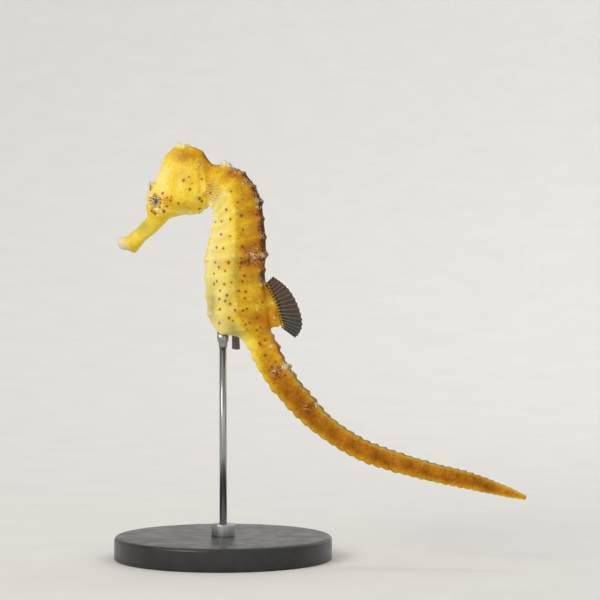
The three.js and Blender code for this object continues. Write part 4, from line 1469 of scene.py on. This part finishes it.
# ---------------------------------------------------------------- fins
@dataclass
class Fin:
    """A fin: a thin web held by tapering rays that fan out from the body."""

    node: str
    rays: int
    base: tuple  # share of the base, x, z and, off the middle, y
    angle: tuple  # share of the base and the ray's angle over the horizon, in degrees
    reach: tuple  # share of the base and the ray's length
    root: float
    finish: FinFinish
    splay: float = 0.0
    side: int = 0
    columns: int = 6
    rows: int = 20
    thickness: float = 0.13
    notch: float = 0.045
    bow: float = 0.02  # how fast a ray leans aside, for each millimetre squared
    middle_bow: float = 0.25  # the share of that on a fin in the middle of the body
    foot_radius: float = 0.11
    tip_radius: float = 0.035

    def place(self, u: Array, v: Array) -> Array:
        """Points of the fin.

        Args:
            u: shares of the base.
            v: shares of the ray's length, below 0 inside the body.

        Returns:
            Points by u, v and x, y, z.
        """
        foot = Smooth(self.base)(u)
        turn = np.radians(Smooth(self.angle)(u)[:, 0])
        length = Smooth(self.reach)(u)[:, 0]
        splay = math.radians(self.splay)
        across = (-self.side * math.sin(splay), math.cos(splay))
        out = np.stack([np.cos(turn) * across[1], -np.cos(turn) * across[0], np.sin(turn)], axis=1)
        y = self.side * foot[:, 2] if foot.shape[1] > 2 else 0 * u
        start = np.stack([foot[:, 0], y, foot[:, 1]], axis=1)
        run = np.where(v < 0, v * self.root, v * length[:, None])
        bow = self.bow * (length[:, None] * np.clip(v, 0, 1)) ** 2
        point = start[:, None, :] + out[:, None, :] * run[:, :, None]
        point[:, :, 1] += (self.side or self.middle_bow) * bow
        return point

    def web(self) -> Piece:
        """The web, a little drawn in between the ends of the rays."""
        count = (self.rays - 1) * self.columns + 1
        u = np.linspace(0, 1, count)
        phase = np.arange(count) % self.columns / self.columns
        near = np.minimum(phase, 1 - phase)
        v = np.linspace(-1, 1, self.rows)[None, :] * np.ones((count, 1))
        v = np.where(v < 0, v, v * (1 - self.notch * np.sin(np.pi * phase)[:, None]))
        points = self.place(u, v).reshape(-1, 3)
        ray = np.repeat(bell(near, 0.2), self.rows)
        share = np.repeat(u, self.rows)
        marks = {"out": np.clip(v, 0, 1).ravel(), "ray": 0.6 * ray, "share": share}
        piece = mesh_object(f"{self.node}_web", points, loft_faces(count, self.rows, closed=False), marks)
        wall = piece.modifiers.new("wall", "SOLIDIFY")
        wall.thickness, wall.offset = self.thickness * MM, 0.0
        take_mesh(piece)
        face_outward(piece)
        return piece

    def rods(self, recipe: Recipe, finish: Material) -> Piece:
        """The rays, grown along lines in the web."""
        u = np.linspace(0, 1, self.rays)
        v = np.linspace(-1, 1, self.rows)[None, :] * np.ones((self.rays, 1))
        points = self.place(u, v).reshape(-1, 3)
        marks = {"out": np.clip(v, 0, 1).ravel(), "ray": np.ones(v.size), "share": np.repeat(u, self.rows)}
        starts = [ray * self.rows + k for ray in range(self.rays) for k in range(self.rows - 1)]
        piece = mesh_object(f"{self.node}_rays", points, [], marks, [(k, k + 1) for k in starts])
        recipe.run(piece, finish, Foot_radius=self.foot_radius * MM, Tip_radius=self.tip_radius * MM)
        face_outward(piece)
        return piece

    def build(self, recipe: Recipe) -> list[Piece]:
        """Builds the web and the rays in place of the fin's solid."""
        finish = bpy.data.materials.get(self.finish.name) or self.finish.build()
        web = self.web()
        web.data.materials.append(finish)
        pieces = [web, self.rods(recipe, finish)]
        for piece in pieces:
            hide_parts(self.node)
            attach(piece, BODY)
        return pieces


@dataclass
class Hump:
    """The fleshy foot under the dorsal fin."""

    base: tuple
    start: float = 0.02
    half: float = 1.7
    depth: float = 3.8
    slope: float = 0.12
    lip: float = 0.8
    taper: float = 0.35
    steps: int = 24
    around: int = 32

    def loft(self) -> tuple[Array, list]:
        """Ovals from inside the back out to the fin's base.

        Returns:
            Points and faces.
        """
        step = np.linspace(0, 1, self.steps + 1)
        foot = Smooth(self.base)(self.start + (1 - self.start) * step)
        swell = np.sqrt(np.maximum(0.02, 1 - (2 * step - 1) ** 4))
        inner = foot + np.array([-self.depth, self.depth * self.slope])
        outer = foot - np.stack([self.lip * (1 - swell), 0 * swell], axis=1)
        middle, reach = (inner + outer) / 2, (outer - inner) / 2
        turn = full_turn(self.around)
        flat = middle[:, None, :] + reach[:, None, :] * np.cos(turn)[None, :, None]
        aside = self.half * swell[:, None] * (1 - self.taper * np.cos(turn)) * np.sin(turn)
        points = np.stack([flat[:, :, 0], aside, flat[:, :, 1]], axis=2)
        return points.reshape(-1, 3), loft_faces(self.steps + 1, self.around)


DORSAL_BASE = ((0, 10.0, 60.9), (0.35, 11.8, 57.2), (0.7, 13.1, 53.4), (1, 13.7, 50.7))


@dataclass
class Fins:
    """All four fins and the toothed fringe at the dorsal fin's foot."""

    dorsal: Fin = field(default_factory=lambda: Fin(
        "dorsal_fin", 17, DORSAL_BASE, ((0, 44), (0.25, 36), (0.5, 10), (0.75, -14), (1, -36)),
        ((0, 1.9), (0.25, 3.4), (0.5, 4.4), (0.75, 4.8), (0.9, 4.1), (1, 3.2)), 0.6,
        FinFinish("dorsal_membrane", opacity=0.9),
    ))
    anal: Fin = field(default_factory=lambda: Fin(
        "anal_fin", 4, ((0, 2.1, 49.2), (1, 3.6, 49.0)), ((0, -91), (1, -86)),
        ((0, 3.0), (0.5, 3.1), (1, 2.9)), 0.5,
        FinFinish("anal_membrane", web="5c463a", web_low="4c4038", foot="6a5340", opacity=0.82),
    ))
    pectoral_base: tuple = ((0, -3.5, 83.0, 3.25), (0.5, -3.2, 81.3, 3.55), (1, -3.3, 79.6, 3.5))
    pectoral_angle: tuple = ((0, 18), (0.5, 0), (1, -20))
    pectoral_reach: tuple = ((0, 2.6), (0.3, 3.6), (0.7, 3.7), (1, 2.6))
    pectoral_rays: int = 9
    pectoral_root: float = 0.5
    pectoral_splay: float = 20.0
    pectoral_sizes: dict = field(default_factory=lambda: {
        "foot_radius": 0.06, "tip_radius": 0.025, "thickness": 0.08,
    })
    fringe_count: int = 17
    fringe_radius: float = 0.21
    fringe_span: tuple[float, float] = (0.03, 0.99)  # shares of the base where it starts and ends
    fringe_aside: float = 0.16  # how far a tooth stands off the middle of the fin
    fringe_lean: float = 0.15
    fringe_sunk: float = 0.1

    def build(self, buds: Recipe) -> list[Piece]:
        """Builds every fin and the fringe."""
        recipe = ray_recipe()
        pieces = self.dorsal.build(recipe) + self.anal.build(recipe)
        clear = FinFinish(
            "pectoral_membrane", web="f2cc48", web_low="eec440", ray_foot="cc8418", ray="e2aa2c",
            foot="dca024", edge="f6e29a", opacity=0.14, ray_opacity=0.34,
        )
        for side, node in ((-1, "pectoral_fin_left"), (1, "pectoral_fin_right")):
            fin = Fin(
                node, self.pectoral_rays, self.pectoral_base, self.pectoral_angle, self.pectoral_reach,
                self.pectoral_root, clear, self.pectoral_splay, side, **self.pectoral_sizes,
            )
            pieces += fin.build(recipe)
        pieces.append(self.fringe(buds))
        return pieces

    def fringe(self, buds: Recipe) -> Piece:
        """Golden teeth on both sides of the dorsal fin's foot."""
        u = np.linspace(*self.fringe_span, self.fringe_count)
        foot = self.dorsal.place(u, np.zeros((len(u), 1)))[:, 0]
        tip = self.dorsal.place(u, np.full((len(u), 1), 0.3))[:, 0]
        way = (tip - foot) / np.linalg.norm(tip - foot, axis=1)[:, None]
        points, ways = [], []
        for side in (-1, 1):
            points.append(foot - way * self.fringe_sunk + (0, side * self.fringe_aside, 0))
            ways.append(way + (0, side * self.fringe_lean, 0))
        points, ways = np.vstack(points), np.vstack(ways)
        piece = mesh_object("dorsal_fringe", points, [], {"way": ways, "size": np.ones(len(points))})
        finish = PlainFinish("fringe_gold", "d8a91e", "b0800f", 2400.0, (0.45, 0.6)).build()
        buds.run(piece, finish, Radius=self.fringe_radius * MM, Stretch=1.15, Least=0.85, Most=1.25, Seed=5)
        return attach(piece, BODY)


# ---------------------------------------------------------------- warts and tufts
@dataclass
class Granules:
    """Small pale warts and tufts that stand on the skin, in clusters.

    A cluster is a column, a row, a width and a height on the chart, a number of warts and their size.
    """

    chart: Chart = field(default_factory=Chart)
    clusters: tuple = (
        (226, 164, 4, 2.5, 26, 1.1), (288, 361, 3, 4, 16, 1.1), (319, 402, 3, 3, 12, 1.0),
        (180, 145, 5, 2, 12, 1.0), (254, 255, 9, 6, 30, 0.42), (277, 368, 7, 6, 26, 0.42),
        (237, 168, 5, 4, 12, 0.7), (248, 184, 3, 6, 10, 0.7), (193, 213, 6, 1.5, 10, 0.9),
        (260, 255, 2, 3, 6, 0.9), (229, 261, 4, 2, 6, 0.5), (257, 204, 2, 4, 8, 0.9),
        (159, 212, 6, 2, 8, 0.5), (187, 147, 4, 3, 8, 0.7), (262, 215, 1.5, 16, 26, 0.55),
        (264, 262, 2, 10, 16, 0.6), (249, 181, 4, 4, 16, 0.6), (240, 171, 5, 3, 18, 0.7),
        (258, 194, 3, 5, 14, 0.6), (234, 167, 4, 2, 14, 0.8), (261, 281, 2, 4, 8, 0.6),
        (293, 372, 3, 5, 8, 0.6),
    )
    tufts: tuple = (
        (150, 185, 2.2, 3.2, 12, 0.8), (154, 183, 2.0, 1.6, 6, 0.7), (177, 144, 1.6, 1.2, 4, 0.8),
    )
    face_end: float = 170.0  # column behind which warts may stand in the middle of the head
    face_middle: float = 1.0  # and how near the middle none stand before it
    spread: float = 2.2
    seed: int = 23
    radius: float = 0.17

    def points(self, skin: Piece, groups: tuple) -> tuple[Array, Array, Array]:
        """Scatters points of the skin about the middle of each group, on both flanks.

        Args:
            skin: the finished skin.
            groups: the clusters.

        Returns:
            Points in millimetres, their outward directions and their sizes.
        """
        rng = np.random.default_rng(self.seed)
        spots, normals = read_points(skin.data)
        spots = spots / MM
        column, row = self.chart.read(spots)
        picks, sizes = [], []
        bare = (column < self.face_end) & (np.abs(spots[:, 1]) < self.face_middle)
        for c, r, wide, high, number, size in groups:
            off = ((column - c) / wide) ** 2 + ((row - r) / high) ** 2
            near = np.flatnonzero((off < self.spread) & ~bare)
            if len(near) == 0:
                continue
            picks.append(rng.choice(near, min(2 * number, len(near)), replace=False))
            sizes.append(np.full(len(picks[-1]), size))
        picks = np.concatenate(picks)
        return spots[picks], normals[picks], np.concatenate(sizes)

    def build(self, skin: Piece, buds: Recipe) -> list[Piece]:
        """Grows the warts and the tufts on the skin."""
        finish = PlainFinish("wart_pale", "ece5d3", "b39c78", 3200.0, (0.35, 0.5), coat=0.15).build()
        pieces = []
        for name, groups, stretch in (("warts", self.clusters, 0.8), ("tufts", self.tufts, 2.6)):
            points, ways, sizes = self.points(skin, groups)
            piece = mesh_object(name, points, [], {"way": ways, "size": sizes})
            buds.run(piece, finish, Radius=self.radius * MM, Stretch=stretch, Least=0.6, Most=1.25, Seed=3)
            pieces.append(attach(piece, BODY))
        return pieces


# ---------------------------------------------------------------- stand
BELOW_BELLY = 40.0  # a height that is clear under the animal


@dataclass
class Stand:
    """A round weighted base, a collar, a slim rod and a small cup under the belly."""

    base_radius: float = 24.0
    base_height: float = 5.0
    base_edge: float = 0.8
    base_rings: tuple[float, ...] = (20.0, 10.0, 3.0)  # radii of the rows of points on its top
    lower_edge: float = 0.3
    collar: tuple[float, float, float] = (2.6, 2.4, 0.4)  # radius, height, edge
    collar_foot: float = 5.3
    rod_radius: float = 0.8
    rod: tuple[float, float] = (8.0, 46.3)
    cup: tuple[float, float, float, float] = (1.3, 0.95, 46.6, 50.0)  # radius, stem, bottom, top
    cup_levels: tuple[float, float] = (0.6, 1.75)  # height of the waist and of the full radius
    cup_flare: float = 1.6
    cup_gap: float = 0.06
    segments: int = 128
    edge_steps: int = 6

    def edge(self, radius: float, height: float, size: float, down: bool) -> list[tuple[float, float]]:
        """A rounded edge of a turned part, as radius and height, up or down."""
        turns = np.linspace(0, math.pi / 2, self.edge_steps + 1)
        if down:
            return [(radius - size + size * math.sin(t), height + size - size * math.cos(t)) for t in turns]
        return [(radius - size + size * math.cos(t), height - size + size * math.sin(t)) for t in turns]

    def turned(self, name: str, outline: list[tuple[float, float]]) -> Piece:
        """Turns an outline of radius and height round the stand's axis.

        Args:
            name: name of the piece.
            outline: from the underside to the top.

        Returns:
            A closed piece.
        """
        rows = turned_rows(outline, full_turn(self.segments))
        piece = mesh_object(name, np.vstack(rows), loft_faces(len(rows), self.segments))
        face_outward(piece)
        return piece

    def cup_piece(self, skin: Piece) -> Piece:
        """The cup, its top hollowed to follow the belly.

        Args:
            skin: the finished skin, which the cup follows.

        Returns:
            The cup.
        """
        radius, stem, bottom, top = self.cup
        tree = BVHTree.FromObject(skin, bpy.context.evaluated_depsgraph_get())
        turn = full_turn(self.segments)
        waist, shoulder = (bottom + level for level in self.cup_levels)
        outline = [(stem * 0.55, bottom), (stem - 0.05, bottom), (stem, bottom + 0.06), (stem + 0.03, waist)]
        steps = np.linspace(0.15, 0.9, 6)
        outline += [(stem + (radius - stem) * s**self.cup_flare, waist + s) for s in steps]
        outline += [(radius, shoulder)]
        inner = [radius, *np.linspace(radius - 0.06, 0.03, 14)]
        rows = turned_rows(outline, turn)
        for number, r in enumerate(inner):
            x, y = r * np.cos(turn), r * np.sin(turn)
            level = [self.belly(tree, float(a), float(b), top) for a, b in zip(x, y)]
            z = np.minimum(np.array(level) - self.cup_gap, top) - (0.06 if number == 0 else 0.0)
            rows.append(np.stack([x, y, z], axis=1))
        piece = mesh_object("cup", np.vstack(rows), loft_faces(len(rows), self.segments))
        face_outward(piece)
        return piece

    @staticmethod
    def belly(tree: BVHTree, x: float, y: float, default: float) -> float:
        """Height of the belly over a point of the cup, in millimetres."""
        hit = tree.ray_cast(Vector((x * MM, y * MM, BELOW_BELLY * MM)), Vector((0, 0, 1)))[0]
        return hit.z / MM if hit else default

    def build(self, skin: Piece) -> list[Piece]:
        """Builds the stand in place of its solids."""
        black = PlainFinish(
            "satin_black", "202123", "101112", 900.0, (0.32, 0.46), relief=0.00002, coat=0.15
        ).build()
        steel = PlainFinish(
            "brushed_steel", "b9bbbd", "8d9093", 1400.0, (0.24, 0.4), metallic=1.0, stretch=(1.0, 1.0, 0.04)
        ).build()
        plate = [(self.base_radius - 1.2, 0.0), *self.edge(self.base_radius, 0.0, self.lower_edge, True)]
        plate += self.edge(self.base_radius, self.base_height, self.base_edge, False)
        plate += [(r, self.base_height) for r in self.base_rings]
        radius, height, size = self.collar
        foot, top = self.collar_foot - 0.3, self.collar_foot + height
        ring = [(radius - 0.2, foot), *self.edge(radius, foot, 0.1, True)]
        ring += [*self.edge(radius, top, size, False), (self.rod_radius, top)]
        low, high = self.rod
        pole = [(self.rod_radius, low - 0.3), (self.rod_radius, high + 0.4)]
        parts = (
            (self.turned("base_plate", plate), "stand_base", "base", black),
            (self.turned("collar_ring", ring), "stand_collar", "steel", steel),
            (self.turned("pole", pole), "stand_rod", "steel", steel),
            (self.cup_piece(skin), "stand_cradle", "steel", steel),
        )
        pieces = []
        for piece, node, slot, finish in parts:
            piece.name = f"stand_{piece.name}"
            piece.data.materials.append(finish)
            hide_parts(node)
            pieces.append(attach(piece, BODY))
        return pieces


# ---------------------------------------------------------------- studio
ANIMAL = (0.015, 0.0, 0.055)
FAR_WALL = (0.25, 1.2, 0.25)


@dataclass
class Studio:
    """A pale bowl of a floor, soft lamps and the camera; lengths are in metres, and the lens in mm."""

    azimuth: float = math.radians(12.0)
    elevation: float = math.radians(1.5)
    distance: float = 0.55
    lens: float = 150.0
    sensor: float = 36.0
    clip: tuple[float, float] = (0.01, 20.0)
    aim_right: float = 0.01694
    aim_height: float = 0.057
    floor_flat: float = 0.3
    floor_bend: float = 1.4
    wall: float = 1.2
    sky: str = "f4f4f2"
    sky_strength: float = 0.85
    floor_tints: tuple[str, str] = ("dedddb", "e6e5e3")
    lamps: tuple = (  # name, place, side, watts, tint and where it looks
        ("key", (-0.38, -0.55, 0.5), 0.42, 2.85, "fff8ee", ANIMAL),
        ("fill", (0.55, -0.5, 0.22), 0.5, 0.7, "f4f7ff", ANIMAL),
        ("rim", (0.35, 0.5, 0.45), 0.35, 0.35, "ffffff", ANIMAL),
        ("front", (0.0, -0.7, 0.12), 0.5, 0.6, "fffaf2", ANIMAL),
        ("wall", (0.25, 0.5, 0.9), 0.9, 4.2, "ffffff", FAR_WALL),
    )

    def build(self) -> None:
        """Builds the floor, the lamps, the world and the camera."""
        self.floor()
        for lamp in self.lamps:
            self.lamp(*lamp)
        world = bpy.data.worlds.new("studio")
        world.use_nodes = True
        background = world.node_tree.nodes["Background"]
        background.inputs["Color"].default_value = paint(self.sky)
        background.inputs["Strength"].default_value = self.sky_strength
        bpy.context.scene.world = world
        bpy.context.scene.view_settings.view_transform = "Standard"
        self.camera()

    def floor(self) -> None:
        """A round floor that sweeps up into a wall all round."""
        turn = full_turn(96)
        bend = np.linspace(0, math.pi / 2, 32)[1:]
        size = self.floor_bend
        outline = [(0.02, 0.0), (0.2, 0.0), (self.floor_flat, 0.0)]
        outline += [(self.floor_flat + size * math.sin(t), size - size * math.cos(t)) for t in bend]
        outline += [(self.floor_flat + size, size + self.wall)]
        rows = turned_rows(outline, turn)
        faces = loft_faces(len(rows), len(turn))[:-2]
        faces.append(tuple(range(len(turn))))
        piece = mesh_object("floor", np.vstack(rows) / MM, faces)
        material, sheet, shader = new_material("floor_paint")
        cloud = sheet.noise(place(sheet), 60.0, 3.0)
        dark, light = (paint(code) for code in self.floor_tints)
        sheet.feed(shader.inputs["Base Color"], sheet.ramp(cloud, [(0.0, dark), (1.0, light)]))
        shader.inputs["Roughness"].default_value = 0.8
        piece.data.materials.append(material)

    @staticmethod
    def lamp(name: str, where: tuple, size: float, power: float, tint: str, target: tuple) -> None:
        """One soft square lamp.

        Args:
            name: the lamp's name.
            where: its place.
            size: length of its side.
            power: watts.
            tint: its colour as RRGGBB.
            target: the place that it looks at.
        """
        light = bpy.data.lights.new(name, "AREA")
        light.size, light.energy, light.color = size, power, paint(tint)[:3]
        lamp = bpy.data.objects.new(name, light)
        lamp.location = where
        aim = Vector(target) - Vector(where)
        lamp.rotation_euler = aim.to_track_quat("-Z", "Y").to_euler()
        bpy.context.scene.collection.objects.link(lamp)

    def camera(self) -> None:
        """The camera, level with the animal and a little towards its tail."""
        data = bpy.data.cameras.new("camera")
        data.lens, data.sensor_width = self.lens, self.sensor
        data.clip_start, data.clip_end = self.clip
        camera = bpy.data.objects.new("camera", data)
        sine, cosine = math.sin(self.azimuth), math.cos(self.azimuth)
        aim = Vector((cosine * self.aim_right, sine * self.aim_right, self.aim_height))
        level = math.cos(self.elevation)
        back = Vector((sine * level, -cosine * level, math.sin(self.elevation)))
        camera.location = aim + back * self.distance
        camera.rotation_euler = (-back).to_track_quat("-Z", "Y").to_euler()
        bpy.context.scene.collection.objects.link(camera)
        bpy.context.scene.camera = camera


def main() -> None:
    """Builds the model and reports each piece."""
    logging.basicConfig(level=logging.INFO, format="%(name)s: %(message)s")
    Studio().build()
    form = Form()
    skin = Skin(form, Markings(), hump=Hump(DORSAL_BASE)).dress()
    buds = bud_recipe()
    pieces = [skin, *Eyes().build(), *Fins().build(buds), *Granules().build(skin, buds)]
    pieces += Stand().build(skin)
    for piece in pieces:
        piece.data.calc_loop_triangles()
        log.info("%s: %d triangles", piece.name, len(piece.data.loop_triangles))


if __name__ == "__main__":
    main()
